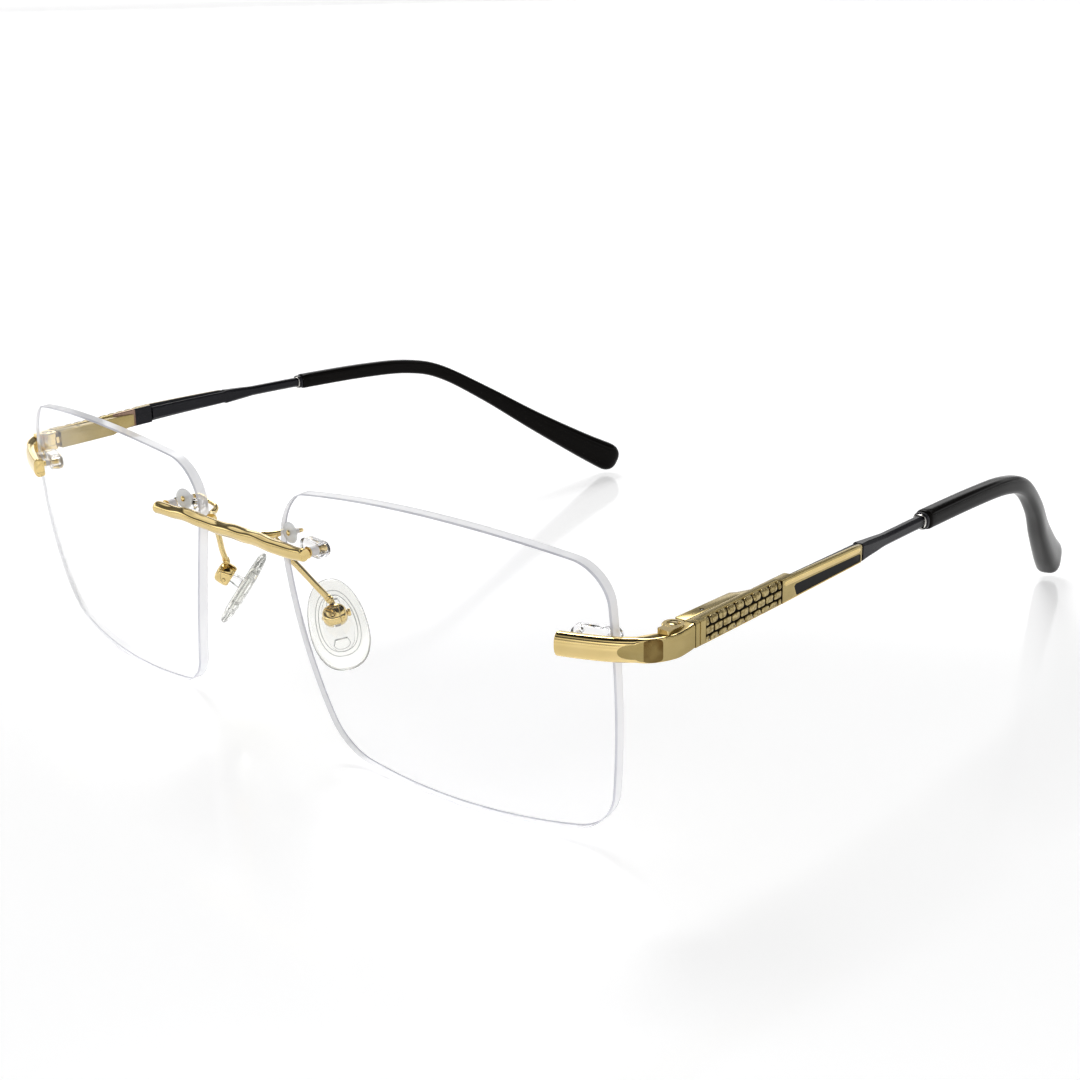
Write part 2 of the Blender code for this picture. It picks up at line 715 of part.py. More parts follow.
ROD_X = CASING_INNER_X + 0.88
ROD_R = 0.27
SPRING_Y = (14.75, 20.2)


def build_core():
    """The hinge eye with its slider and the spring rod, which ends in a stop nut."""
    half = EYE_TALL / 2
    eye = cylinder("hinge_core_left", on_hinge(END_Z_JOINT - half), on_hinge(END_Z_JOINT + half),
                   KNUCKLE_R - 0.08, GOLD, 20)
    slider = block("slider", (ROD_X - SLIDER_HALF, HINGE_Y, END_Z_JOINT - half + 0.02),
                   (ROD_X + SLIDER_HALF, SPRING_Y[0] - 0.12, END_Z_JOINT + half - 0.02), 0.06, GOLD, 1)
    boolean(eye, slider, "UNION")
    rod = cylinder("rod", Vector((ROD_X, SPRING_Y[0] - 0.6, END_Z_JOINT)),
                   Vector((ROD_X, NUT_END_Y + 0.2, END_Z_JOINT)), ROD_R, STEEL, 12)
    boolean(eye, rod, "UNION")
    nut = cylinder("nut", Vector((ROD_X, SPRING_Y[1] + 0.12, END_Z_JOINT)),
                   Vector((ROD_X, NUT_END_Y, END_Z_JOINT)), NUT_R, STEEL, 12)
    boolean(eye, nut, "UNION")
    bore = cylinder("eye_bore", on_hinge(END_Z_JOINT - 10), on_hinge(END_Z_JOINT + 10),
                    BUSH_R + FIT_GAP, GOLD, 16)
    boolean(eye, bore)
    return settle(eye)


def build_spring():
    """A compression spring round the rod, between the casing's front wall and the stop nut."""
    turns, wire, mid_radius, sides = 7, 0.08, 0.42, 4
    steps = turns * 9
    low, high = SPRING_Y[0] + 0.1, SPRING_Y[1]
    rings = []
    for k in range(steps + 1):
        turn = 2 * math.pi * turns * k / steps
        out = Vector((math.cos(turn), 0, math.sin(turn)))
        centre = Vector((ROD_X, low + (high - low) * k / steps, END_Z_JOINT)) + out * mid_radius
        rings.append([centre + (out * math.cos(a) + Vector((0, 1, 0)) * math.sin(a)) * wire
                      for a in (2 * math.pi * s / sides for s in range(sides))])
    return loft("hinge_spring_left", rings, STEEL)


def build_casing():
    """The spring housing on the inner face of the temple, open to the front for the slider."""
    x0, (y0, y1) = CASING_INNER_X, CASING_Y
    low, high = END_Z_JOINT - END_TALL / 2 + 0.06, END_Z_JOINT + END_TALL / 2 - 0.02
    rings = []
    for y, step, drop in ((y0, 0.0, 0.05), (y1 - 0.9, 0.1, 0.0), (y1, 0.55, 0.1), (y1 + 4.2, 1.35, 0.5)):
        inner = x0 + step
        x1 = temple_at(y).x - TEMPLE_THICK / 2 - FIT_GAP
        rise = 0.03 * (y - y0)
        middle = Vector(((inner + x1) / 2, y, (low + high) / 2 + rise))
        half_tall = (high - low) / 2 - drop
        rings.append(box_ring(middle, Vector((1, 0, 0)), Z_AXIS, (x1 - inner) / 2, half_tall, 0.12))
    casing = loft("spring_casing_left", rings, GOLD)
    half = EYE_TALL / 2
    mouth_half = SLIDER_HALF + FIT_GAP
    mouth = block("casing_mouth", (ROD_X - mouth_half, y0 - 1, END_Z_JOINT - half - 0.02),
                  (ROD_X + mouth_half, SPRING_Y[0] + 0.2, END_Z_JOINT + half + 0.02), 0.03, GOLD, 1)
    boolean(casing, mouth)
    hollow = cylinder("casing_hollow", Vector((ROD_X, SPRING_Y[0] - 1.4, END_Z_JOINT)),
                      Vector((ROD_X, 21.9, END_Z_JOINT)), 0.58, GOLD, 16)
    boolean(casing, hollow)
    dot = Vector((ROD_X + 0.1, CASING_DOT_Y, END_Z_JOINT))
    vent = cylinder("casing_dot", dot, dot + Z_AXIS * END_TALL, 0.22, GOLD, 12)
    boolean(casing, vent)
    return settle(casing)


# Temple -------------------------------------------------------------------------------------------

TEMPLE_AXIS = ((72.65, JOINT_Y, 30.2), (72.5, 31.0, 31.0), (71.95, 48.0, 31.3),
               (70.95, SLEEVE_START_Y, 31.35), (69.9, 82.0, 31.05), (68.9, 92.5, 30.2), (67.6, 100.5, 27.9),
               (64.6, 110.5, 21.9), (60.5, 121.0, 14.6), (56.6, 131.5, 7.77), (54.3, 138.0, 3.87))


def temple_line(per_span=6):
    return smooth_path(TEMPLE_AXIS, per_span)


def temple_at(y):
    """The temple's middle line at a given distance back."""
    line = temple_line(12)
    for a, b in zip(line, line[1:]):
        if a.y <= y <= b.y:
            return a + (b - a) * ((y - a.y) / (b.y - a.y))
    return line[-1]


def straight_bar(name, stations, finish, chamfer=0.18):
    """A bar along the temple: stations give y, how far in and out it reaches, and its height."""
    rings = []
    for y, inner, outer, tall in stations:
        middle = temple_at(y)
        side, up = Vector((1, 0, 0)), Z_AXIS
        centre = middle + side * (inner + outer) / 2
        corner = min(chamfer, (outer - inner) / 3)
        rings.append(box_ring(centre, side, up, (outer - inner) / 2, tall / 2, corner))
    return loft(name, rings, finish)


def build_temple_front():
    """The gold outer bar, recessed for the tile panel and for the black inlay."""
    half = TEMPLE_THICK / 2
    stations = [(JOINT_Y, -half, half, 3.2), (21, -half, half, 3.25), (30, -half, half, 3.3),
                (INLAY_Y - 0.2, -half, half, 3.25), (INLAY_Y, 0.02, half, 3.25), (40, 0.02, half, 3.0),
                (GOLD_END_Y - 0.8, 0.02, half, 2.65), (GOLD_END_Y, 0.02, half - 0.1, 2.2)]
    bar = straight_bar("temple_front_left", stations, GOLD, 0.28)
    for number, ((start, end), tall, drop, deep) in enumerate(temple_recesses()):
        rings = []
        for y in (start, (start + end) / 2, end):
            middle = temple_at(y) + Vector((half - deep + 1, 0, drop))
            rings.append(box_ring(middle, Vector((1, 0, 0)), Z_AXIS, 1, tall / 2, 0.02))
        boolean(bar, loft("temple_recess_%d" % number, rings, GOLD))
    return settle(bar)


def temple_recesses():
    """Length, height, drop below the middle and depth of each recess in the temple's outer face."""
    return ((TILE_Y, 2.6, -0.1, 0.5), ((INLAY_Y + 0.4, GOLD_END_Y - 0.9), 1.55, -0.22, 0.35))


def recess_plate(name, number, thick, finish):
    """A plate that lies in one of the recesses with a hairline gap all round."""
    (start, end), tall, drop, deep = temple_recesses()[number]
    rings = []
    for y in (start + FIT_GAP, (start + end) / 2, end - FIT_GAP):
        centre_x = TEMPLE_THICK / 2 - deep + FIT_GAP + thick / 2
        middle = temple_at(y) + Vector((centre_x, 0, drop))
        rings.append(box_ring(middle, Vector((1, 0, 0)), Z_AXIS, thick / 2, tall / 2 - FIT_GAP, 0.04))
    return loft(name, rings, finish)


def build_rod():
    """The black inner bar, which narrows to a rod and goes on as the core wire of the ear tip."""
    half = TEMPLE_THICK / 2
    line = temple_line(3)
    rings = []
    stations = ((INLAY_Y + 0.1, -half, -0.04, 2.9), (40, -half, -0.04, 2.7),
                (GOLD_END_Y + 0.05, -half, -0.04, 2.6), (GOLD_END_Y + 0.1, -half, half, 2.5),
                (50.5, -half, half, 2.3), (54.5, -0.75, 0.75, 1.75))
    for y, inner, outer, tall in stations:
        centre = temple_at(y) + Vector(((inner + outer) / 2, 0, 0))
        rings.append(box_ring(centre, Vector((1, 0, 0)), Z_AXIS, (outer - inner) / 2, tall / 2, 0.22))
    for centre in [p for p in line if 56 < p.y < SLEEVE_START_Y - 1]:
        rings.append(box_ring(centre, Vector((1, 0, 0)), Z_AXIS, 0.75, 0.85, 0.25))
    inside = [p for p in line if SLEEVE_START_Y - 0.5 < p.y < 126]
    for i, centre in enumerate(inside[:-1]):
        side, up = frame_across(inside[i + 1] - inside[max(i - 1, 0)])
        rings.append(box_ring(centre, side, up, 0.6, 0.6, 0.2))
    return loft("temple_rod_left", rings, BLACK_METAL)


def sleeve_section(share, centre, side, up):
    """Soft-cornered and slim at the start, then a flattened paddle towards the end."""
    paddle = max(0.0, (share - 0.45) / 0.55) ** 1.5
    wide = 1.35 + 1.0 * paddle
    tall = 1.4 + 1.9 * paddle
    end = max(0.0, (share - 0.955) / 0.045)
    close = math.sqrt(max(0.0, 1 - (end * 0.97) ** 2))
    return rounded_ring(centre, side, up, wide * close, tall * close, 16, 2.9)


def sleeve_path():
    line = [p for p in temple_line(3) if p.y > SLEEVE_START_Y + 0.3]
    last, before = line[-1], line[-2]
    ahead = (last - before).normalized()
    return [temple_at(SLEEVE_START_Y)] + line + [last + ahead * reach for reach in (1.2, 2.0, 2.5, 2.75)]


def build_sleeve():
    """The acetate ear tip, hollow for the core wire as far as it reaches."""
    sleeve = sweep("ear_tip_left", sleeve_path(), sleeve_section, BLACK_ACETATE)
    line = [p for p in temple_line(3) if SLEEVE_START_Y - 9 < p.y < 129]
    rings = []
    for i, centre in enumerate(line):
        side, up = frame_across(line[min(i + 1, len(line) - 1)] - line[max(i - 1, 0)])
        rings.append(box_ring(centre, side, up, 0.68, 0.68, 0.2))
    boolean(sleeve, loft("core_channel", rings, BLACK_ACETATE))
    return settle(sleeve)


def build_collar():
    """A small metal ring where the rod enters the ear tip."""
    path = [temple_at(y) for y in (SLEEVE_START_Y - 0.85, SLEEVE_START_Y - 0.7, SLEEVE_START_Y - 0.15)]
    rings = []
    for centre, size in zip(path, (1.05, 1.2, 1.2)):
        rings.append(rounded_ring(centre, Vector((1, 0, 0)), Z_AXIS, size, size, 16, 2.6))
    collar = loft("ear_tip_collar_left", rings, STEEL)
    channel = [box_ring(temple_at(y), Vector((1, 0, 0)), Z_AXIS, 0.82, 0.92, 0.2)
               for y in (SLEEVE_START_Y - 2, SLEEVE_START_Y + 2)]
    boolean(collar, loft("collar_channel", channel, STEEL))
    return settle(collar)


def build():
    clear_scene()
    build_bar()
    pieces = [build_lens(), build_post(), build_bridge_plug(), build_foot(), build_washer(),
              build_nose_pad(), build_pad_core(), build_pad_box(), build_pad_screw(), build_pad_arm(),
              build_endpiece(), build_end_pin(0), build_end_pin(1), build_end_plug(),
              build_hinge_screw(), build_bush(), build_core(), build_spring(), build_casing(),
              build_temple_front(), recess_plate("tile_panel_left", 0, 0.36, GOLD),
              recess_plate("black_inlay_left", 1, 0.28, BLACK_METAL),
              build_rod(), build_sleeve(), build_collar()]
    for piece in pieces:
        mirror_right(piece)


build()
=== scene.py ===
"""The looks of the rimless eyeglasses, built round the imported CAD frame.

Sizes are in millimetres, measured back from the fronts of the lenses as in the CAD model;
placed() turns them into the frame's metres. Each left piece is made once, and pair() mirrors
it for the right side.
"""

import math

import bmesh
import bpy
from mathutils import Matrix, Vector


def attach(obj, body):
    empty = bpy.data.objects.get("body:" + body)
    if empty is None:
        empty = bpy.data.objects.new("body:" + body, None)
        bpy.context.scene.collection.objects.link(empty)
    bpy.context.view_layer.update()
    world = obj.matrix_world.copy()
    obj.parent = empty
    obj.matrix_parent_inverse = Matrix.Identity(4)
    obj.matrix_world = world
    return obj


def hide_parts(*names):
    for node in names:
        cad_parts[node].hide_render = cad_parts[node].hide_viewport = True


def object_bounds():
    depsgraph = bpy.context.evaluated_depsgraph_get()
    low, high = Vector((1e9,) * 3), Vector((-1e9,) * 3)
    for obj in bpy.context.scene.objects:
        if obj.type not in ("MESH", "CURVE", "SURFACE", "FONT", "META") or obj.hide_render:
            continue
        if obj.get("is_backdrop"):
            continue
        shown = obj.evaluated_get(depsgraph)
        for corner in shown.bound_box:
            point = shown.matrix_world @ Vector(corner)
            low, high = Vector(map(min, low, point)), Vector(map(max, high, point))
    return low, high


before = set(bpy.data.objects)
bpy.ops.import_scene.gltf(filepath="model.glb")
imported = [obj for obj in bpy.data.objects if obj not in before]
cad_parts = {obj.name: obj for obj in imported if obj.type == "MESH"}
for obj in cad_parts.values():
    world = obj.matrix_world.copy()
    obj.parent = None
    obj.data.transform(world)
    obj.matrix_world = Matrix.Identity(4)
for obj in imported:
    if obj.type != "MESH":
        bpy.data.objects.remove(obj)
CAD_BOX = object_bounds()

MM = 0.001
ORIGIN = Vector((0.0, 69.2, 0.0))
X_AXIS, Y_AXIS, Z_AXIS = Vector((1, 0, 0)), Vector((0, 1, 0)), Vector((0, 0, 1))

# Lens
LENS_RADIUS = 125.6
LENS_THICK = 1.7
LENS_TILT = math.radians(4.74)
LENS_WRAP = math.radians(5.85)
LENS_CENTRE_X = 38.46
LENS_CORNERS = ((-20.6, -19.1), (25.7, -18.6), (27.5, 17.3), (-29.3, 17.7))
LENS_BULGES = (1.87, 1.81, 3.19, 1.35)
LENS_CORNER_RADII = (6.0, 6.0, 4.2, 5.4)
LENS_BEVEL = 0.2

# Bridge and the parts through the lens
BAR_HALF = 17.9
BAR_Y = -2.2
BAR_Z = 31.7
BAR_R = 1.05
POST_X = 17.0
POST_R = 0.65
PRONG_UV = (-25.6, 13.0)
PRONG_R = 0.32
PLUG_THICK = 1.7
SEAT_GAP = 0.12
END_PIN_U = (23.2, 27.3)
END_PIN_R = 0.45
END_PIN_FORWARD = (0.4, 0.2)

# End piece and hinge
END_Z_TIP = 28.9
END_Z_JOINT = 30.2
END_TALL = 3.15
END_DEEP = 1.75
END_ROUTE = ((60.3, 2.3), (63.4, 3.35), (66.4, 4.5), (68.6, 5.55), (70.4, 6.75), (71.7, 8.1), (72.5, 9.5),
             (72.62, 11.0))
# Place, facing in degrees, depth and material number; number 2 is the gold painted with shade
CORNER_FACETS = (((69.85, 5.3), -57, 0.11, 1), ((71.2, 6.2), -46, 0.17, 2))
SIDE_PANEL_Y = 6.6
OUTER_X = 73.5
HINGE_X = 71.2
HINGE_Y = 11.0
KNUCKLE_R = 1.45
EYE_TALL = 1.2
SCREW_R = 0.4
JOINT_Y = 12.45
JOINT_GAP = 0.2

# Temple
TEMPLE_AXIS = ((72.65, JOINT_Y, 30.2), (72.5, 31.0, 31.0), (71.95, 48.0, 31.3), (70.95, 66.0, 31.35),
               (69.9, 82.0, 31.05), (68.9, 92.5, 30.2), (67.6, 100.5, 27.9), (64.6, 110.5, 21.9),
               (60.5, 121.0, 14.6), (56.6, 131.5, 7.77), (54.3, 138.0, 3.87))
TEMPLE_THICK = 1.7
GOLD_END_Y = 48.3
INLAY_Y = 32.2
TILE_Y = (14.3, 29.6)
TILE_PITCH = 1.7
TILE_WIDE = 1.43
TILE_LEAN = 0.06
SKIN_CORNER = 0.6
BRONZE_Y, DARK_Y = 24, 28.6  # where the bar's inner side turns bronze, and then black
CASING_Y = (12.7, 23.8)
CASING_INNER_X = 69.95
SLEEVE_START_Y = 66.0

# Nose pad
PAD_TOP = Vector((7.9, 9.4, 23.0))
PAD_BOTTOM = Vector((15.2, 6.5, 12.0))
PAD_FACING = Vector((-0.61, 0.56, -0.56))
PAD_LONG = 13.8
PAD_WIDE = 8.2
PAD_BOX_BACK = 3.9

PAD_ARM_R = 0.45
PAD_ARM_ROUTE = ((7.3, 0.7, 31.2), (8.55, 1.8, 29.2), (9.8, 3.0, 27.2), (11.5, 4.5, 24.4))

FIT_GAP = 0.04
SHARP_ANGLE = 32
TONE_BAND = (0.35, 0.65)  # the part of a noise's span over which a colour changes

# Studio
FLOOR_GLOW = 0.42
WORLD_LEVEL = 0.6
SUN_STRENGTH = 1.15
SUN_SPREAD = math.radians(24)
SUN_RAYS = (0.5, -0.35, -0.75)
CAMERA_TURN, CAMERA_DROP, CAMERA_ROLL = math.radians(44.62), math.radians(18.03), math.radians(-1.21)
CAMERA_PLACE = (188.09, -129.65, 101.7)
CAMERA_LENS = 54.93


# Looks --------------------------------------------------------------------------------------------

def new_look(name, colour, roughness, metallic=0.0):
    """A Principled material, with its shader, ready for texture nodes."""
    look = bpy.data.materials.new(name)
    look.use_nodes = True
    shader = look.node_tree.nodes["Principled BSDF"]
    shader.inputs["Base Color"].default_value = (*colour, 1)
    shader.inputs["Roughness"].default_value = roughness
    shader.inputs["Metallic"].default_value = metallic
    return look, shader


def add_node(owner, kind, values=()):
    """A new node of a material or world, with some of its inputs set."""
    node = owner.node_tree.nodes.new(kind)
    for name, value in dict(values).items():
        node.inputs[name].default_value = value
    return node


def object_noise(look, scale, detail=3.0, stretch=(1, 1, 1)):
    """Noise that is fixed to the piece, with its grain drawn out along an axis if asked."""
    place = add_node(look, "ShaderNodeTexCoord")
    mapping = add_node(look, "ShaderNodeMapping", {"Scale": stretch})
    noise = add_node(look, "ShaderNodeTexNoise", {"Scale": scale, "Detail": detail})
    look.node_tree.links.new(place.outputs["Object"], mapping.inputs["Vector"])
    look.node_tree.links.new(mapping.outputs["Vector"], noise.inputs["Vector"])
    return noise


def vary_colour(look, shader, noise, low, high):
    ramp = add_node(look, "ShaderNodeValToRGB")
    for element, position, colour in zip(ramp.color_ramp.elements, TONE_BAND, (low, high)):
        element.position = position
        element.color = (*colour, 1)
    look.node_tree.links.new(noise.outputs["Fac"], ramp.inputs["Fac"])
    look.node_tree.links.new(ramp.outputs["Color"], shader.inputs["Base Color"])


def vary_roughness(look, shader, noise, low, high):
    span = add_node(look, "ShaderNodeMapRange", {"To Min": low, "To Max": high})
    look.node_tree.links.new(noise.outputs["Fac"], span.inputs["Value"])
    look.node_tree.links.new(span.outputs["Result"], shader.inputs["Roughness"])


def add_bump(look, shader, noise, strength, distance):
    bump = add_node(look, "ShaderNodeBump", {"Strength": strength, "Distance": distance})
    look.node_tree.links.new(noise.outputs["Fac"], bump.inputs["Height"])
    look.node_tree.links.new(bump.outputs["Normal"], shader.inputs["Normal"])


def surface(name, colour, roughness, metallic=0.0, specular=None, tones=None, gloss=None, bump=None):
    """An opaque look whose colour, roughness and relief vary; each of those begins with its noise."""
    look, shader = new_look(name, colour, roughness, metallic)
    if specular is not None:
        shader.inputs["Specular IOR Level"].default_value = specular
    noises = {}
    for vary, values in ((vary_colour, tones), (vary_roughness, gloss), (add_bump, bump)):
        if values:
            grain, *limits = values
            noises[grain] = noises.get(grain) or object_noise(look, *grain)
            vary(look, shader, noises[grain], *limits)
    return look


def clear_look(name, tint, roughness, ior, haze=0.0, clarity=1.0):
    """Clear resin that lets the lamps' light through to what is behind it."""
    look, shader = new_look(name, tint, roughness)
    shader.inputs["Transmission Weight"].default_value = clarity
    shader.inputs["IOR"].default_value = ior
    nodes, links = look.node_tree.nodes, look.node_tree.links
    if haze:
        vary_roughness(look, shader, object_noise(look, 500, 3), roughness, roughness + haze)
    path = add_node(look, "ShaderNodeLightPath")
    clear = add_node(look, "ShaderNodeBsdfTransparent", {"Color": (*tint, 1)})
    mix = add_node(look, "ShaderNodeMixShader")
    links.new(path.outputs["Is Shadow Ray"], mix.inputs["Fac"])
    links.new(shader.outputs["BSDF"], mix.inputs[1])
    links.new(clear.outputs["BSDF"], mix.inputs[2])
    links.new(mix.outputs["Shader"], nodes["Material Output"].inputs["Surface"])
    return look


def ground_edge(name, low, high, roughness, opacity):
    """A pale, half see-through look for ground lens edges, the washers, and the painted shade lines on the
    lens bevels and the pads.
    """
    look, shader = new_look(name, high, roughness)
    vary_colour(look, shader, object_noise(look, 260, 3, (1, 1, 0.35)), low, high)
    vary_roughness(look, shader, object_noise(look, 900, 3), roughness * 0.8, roughness * 1.3)
    shader.inputs["Alpha"].default_value = opacity
    return look


# Mirror gold with a trace of polishing haze
GOLD = surface("gold_polished", (0.69, 0.53, 0.23), 0.08, 1.0, gloss=((420, 4), 0.05, 0.11),
               tones=((160, 2), (0.66, 0.5, 0.21), (0.72, 0.555, 0.255)))
# The flat sides of the temple and hinge: fine lengthwise brushing in a greener, paler gold
SATIN = surface("gold_satin", (0.38, 0.295, 0.12), 0.22, 1.0,
                tones=((240, 3), (0.34, 0.26, 0.1), (0.42, 0.33, 0.145)),
                gloss=((900, 5, (3, 0.12, 3)), 0.15, 0.28), bump=((900, 5, (3, 0.12, 3)), 0.08, 0.00001))
# Facets that are cut to look away from the lamps; their much darker gold colour is painted shade
SHADE_PAINTED_GOLD = surface("gold_shaded_facet", (0.16, 0.1, 0.03), 0.16, 1.0, gloss=((800, 3), 0.12, 0.22),
                 tones=((500, 2), (0.12, 0.07, 0.02), (0.2, 0.14, 0.05)))
# Tinted metal on the inner side of the temple, behind the spring box
BRONZE = surface("bronze_inner", (0.2, 0.12, 0.09), 0.25, 1.0, gloss=((900, 3), 0.18, 0.32),
                 tones=((300, 3, (1, 0.3, 1)), (0.13, 0.075, 0.055), (0.3, 0.2, 0.15)))
# The tiles: fine punched dots that break up the shine
STIPPLE = surface("gold_stippled", (0.42, 0.33, 0.16), 0.27, 1.0, bump=((5200, 2), 0.4, 0.00004),
                  tones=((2600, 4), (0.2, 0.145, 0.05), (0.52, 0.42, 0.21)))
# Blackened lacquer in the ground between the tiles
RECESS = surface("black_recess", (0.004, 0.003, 0.002), 0.6, specular=0.08, gloss=((1500, 3), 0.4, 0.65))
# Matt enamel with a very fine tooth
INLAY = surface("black_inlay", (0.004, 0.0034, 0.003), 0.45, specular=0.12,
                gloss=((3000, 3), 0.4, 0.55), bump=((3000, 3), 0.15, 0.00002))
# Black plating over metal, semi-gloss, with a cool cast
PLATED = surface("black_plated", (0.005, 0.005, 0.008), 0.26, specular=0.2,
                 gloss=((700, 3, (2, 0.2, 2)), 0.2, 0.32))
# Polished acetate: deep black with a soft sheen and slight waviness
ACETATE = surface("black_acetate", (0.004, 0.0034, 0.003), 0.16, specular=0.05,
                  gloss=((400, 3), 0.12, 0.2), bump=((90, 2), 0.08, 0.0002))
STEEL = surface("bright_steel", (0.66, 0.64, 0.6), 0.16, 1.0, gloss=((800, 3), 0.1, 0.24))
FROSTED = ground_edge("frosted_washer", (0.66, 0.67, 0.67), (0.8, 0.81, 0.81), 0.25, 0.6)
LENS_FACE = clear_look("lens_face", (0.995, 0.995, 1.0), 0.0, 1.12)
LENS_BAND = ground_edge("lens_ground_edge", (0.9, 0.9, 0.94), (0.98, 0.98, 1.0), 0.3, 0.72)
# The lens edge's bevels: painted shade, a darker grey line along both borders of the pale band
LENS_SHADE_LINE = ground_edge("lens_bevel_painted_shade", (0.6, 0.6, 0.67), (0.72, 0.72, 0.78), 0.2, 0.9)
RESIN = clear_look("clear_resin", (0.98, 0.98, 0.985), 0.02, 1.47, 0.04)
SILICONE = clear_look("clear_silicone", (0.98, 0.98, 0.94), 0.05, 1.33, 0.05, 0.92)
# Grey lines on the clear pads: painted shade along the edges of the core, the windows and the rim
PAD_SHADE_LINE = ground_edge("pad_painted_shade_line", (0.5, 0.51, 0.51), (0.64, 0.65, 0.64), 0.2, 0.7)


# Mesh tools ---------------------------------------------------------------------------------------

def placed(point):
    return (Vector(point) - ORIGIN) * MM


def add_object(name, data):
    obj = bpy.data.objects.new(name, data)
    bpy.context.scene.collection.objects.link(obj)
    return obj


def shade(mesh, sharp):
    mesh.shade_smooth()
    mesh.set_sharp_from_angle(angle=math.radians(sharp))


def mesh_object(name, points, faces, looks, look_of=None, sharp=SHARP_ANGLE):
    """A smooth-shaded body from points in millimetres; look_of gives each face's material number."""
    shape = bmesh.new()
    verts = [shape.verts.new(placed(p)) for p in points]
    for number, face in enumerate(faces):
        made = shape.faces.new([verts[i] for i in face])
        made.material_index = look_of[number] if look_of else 0
    bmesh.ops.recalc_face_normals(shape, faces=shape.faces)
    mesh = bpy.data.meshes.new(name)
    shape.to_mesh(mesh)
    shape.free()
    shade(mesh, sharp)
    for look in looks:
        mesh.materials.append(look)
    return add_object(name, mesh)


def ring_faces(rows, count, closed_ends=True):
    faces = []
    for row in range(rows - 1):
        low = row * count
        for k in range(count):
            after = (k + 1) % count
            faces.append((low + k, low + after, low + count + after, low + count + k))
    if closed_ends:
        faces.append(tuple(range(count - 1, -1, -1)))
        faces.append(tuple(range((rows - 1) * count, rows * count)))
    return faces


def loft(name, rings, look, sharp=SHARP_ANGLE):
    points = [p for ring in rings for p in ring]
    return mesh_object(name, points, ring_faces(len(rings), len(rings[0])), [look], sharp=sharp)


def rounded_ring(centre, side, up, half_wide, half_tall, count=32, power=2.0):
    """A superellipse: power 2 is round, and 4 or more is a box with soft corners."""
    ring = []
    for k in range(count):
        turn = 2 * math.pi * (k + 0.5) / count
        c, s = math.cos(turn), math.sin(turn)
        a = math.copysign(abs(c) ** (2 / power), c) * half_wide
        b = math.copysign(abs(s) ** (2 / power), s) * half_tall
        ring.append(centre + side * a + up * b)
    return ring


def soft_box(half_wide, half_tall, radius, steps=4):
    """The outline of a rectangle with round corners, as pairs, counter-clockwise."""
    outline = []
    for quarter, (a, b) in enumerate(((1, 1), (-1, 1), (-1, -1), (1, -1))):
        for k in range(steps + 1):
            turn = math.pi / 2 * (quarter + k / steps)
            outline.append((a * (half_wide - radius) + radius * math.cos(turn),
                            b * (half_tall - radius) + radius * math.sin(turn)))
    return outline


def box_ring(centre, side, up, half_wide, half_tall, radius, steps=4):
    return [centre + side * a + up * b for a, b in soft_box(half_wide, half_tall, radius, steps)]


def prism(name, centres, side, up, half_wide, half_tall, radius, look=GOLD):
    """A straight bar with round corners through the given centres."""
    rings = [box_ring(centre, side, up, half_wide, half_tall, radius) for centre in centres]
    return loft(name, rings, look)


def frame_across(direction, hint=Z_AXIS):
    """Two unit vectors across a direction; the second is as near to the hint as it can be."""
    along = direction.normalized()
    side = along.cross(hint).normalized()
    return side, side.cross(along)


def turned(name, start, axis, stations, look=GOLD, count=28, sharp=SHARP_ANGLE):
    """A body turned about an axis: stations give the reach along it and the radius."""
    side, up = frame_across(axis, Z_AXIS if abs(axis.normalized().z) < 0.9 else Y_AXIS)
    along = axis.normalized()
    rings = [rounded_ring(start + along * reach, side, up, r, r, count) for reach, r in stations]
    return loft(name, rings, look, sharp)


def dowel(name, start, axis, radius, length, look=GOLD, count=28):
    return turned(name, start, axis, ((0, radius), (length, radius)), look, count)


def smooth_path(points, per_span):
    """Points along a Catmull-Rom curve through the given ones."""
    pts = [Vector(p) for p in points]
    pts = [2 * pts[0] - pts[1]] + pts + [2 * pts[-1] - pts[-2]]
    path = []
    for i in range(1, len(pts) - 2):
        a, b, c, d = pts[i - 1:i + 3]
        for step in range(per_span):
            t = step / per_span
            path.append(0.5 * (2 * b + (c - a) * t + (2 * a - 5 * b + 4 * c - d) * t * t
                               + (3 * b - a - 3 * c + d) * t ** 3))
    path.append(pts[-2])
    return path


def sweep_rings(path, section, hint=Z_AXIS, level=False):
    """Rings along a path; section(share, centre, side, up) gives each one."""
    rings = []
    for i, centre in enumerate(path):
        ahead = path[min(i + 1, len(path) - 1)] - path[max(i - 1, 0)]
        if level:
            ahead.z = 0
        side, up = frame_across(ahead, hint)
        rings.append(section(i / (len(path) - 1), centre, side, up))
    return rings


def cut(obj, *tools, operation="DIFFERENCE"):
    """Applies Booleans one after another and removes their tools."""
    for tool in tools:
        step = obj.modifiers.new(tool.name, "BOOLEAN")
        step.object = tool
        step.operation = operation
        step.solver = "EXACT"
    seen = obj.evaluated_get(bpy.context.evaluated_depsgraph_get())
    mesh = bpy.data.meshes.new_from_object(seen)
    obj.modifiers.clear()
    obj.data = mesh
    for tool in tools:
        bpy.data.objects.remove(tool)
    shade(mesh, SHARP_ANGLE)
    return obj


def share_looks(obj, tool, number):
    """Gives a cutting tool the body's material slots, so that the faces it leaves take the numbered one."""
    tool.data.materials.clear()
    for look in obj.data.materials:
        tool.data.materials.append(look)
    for face in tool.data.polygons:
        face.material_index = number


def soften(obj, width, segments=2, angle=35):
    """Rounds the sharp edges a little and polishes them, so that they catch the light."""
    step = obj.modifiers.new("soft_edges", "BEVEL")
    step.width = width * MM
    step.segments = segments
    step.limit_method = "ANGLE"
    step.angle_limit = math.radians(angle)
    step.material = 0  # the first look, also where an edge joins faces of another
    return obj


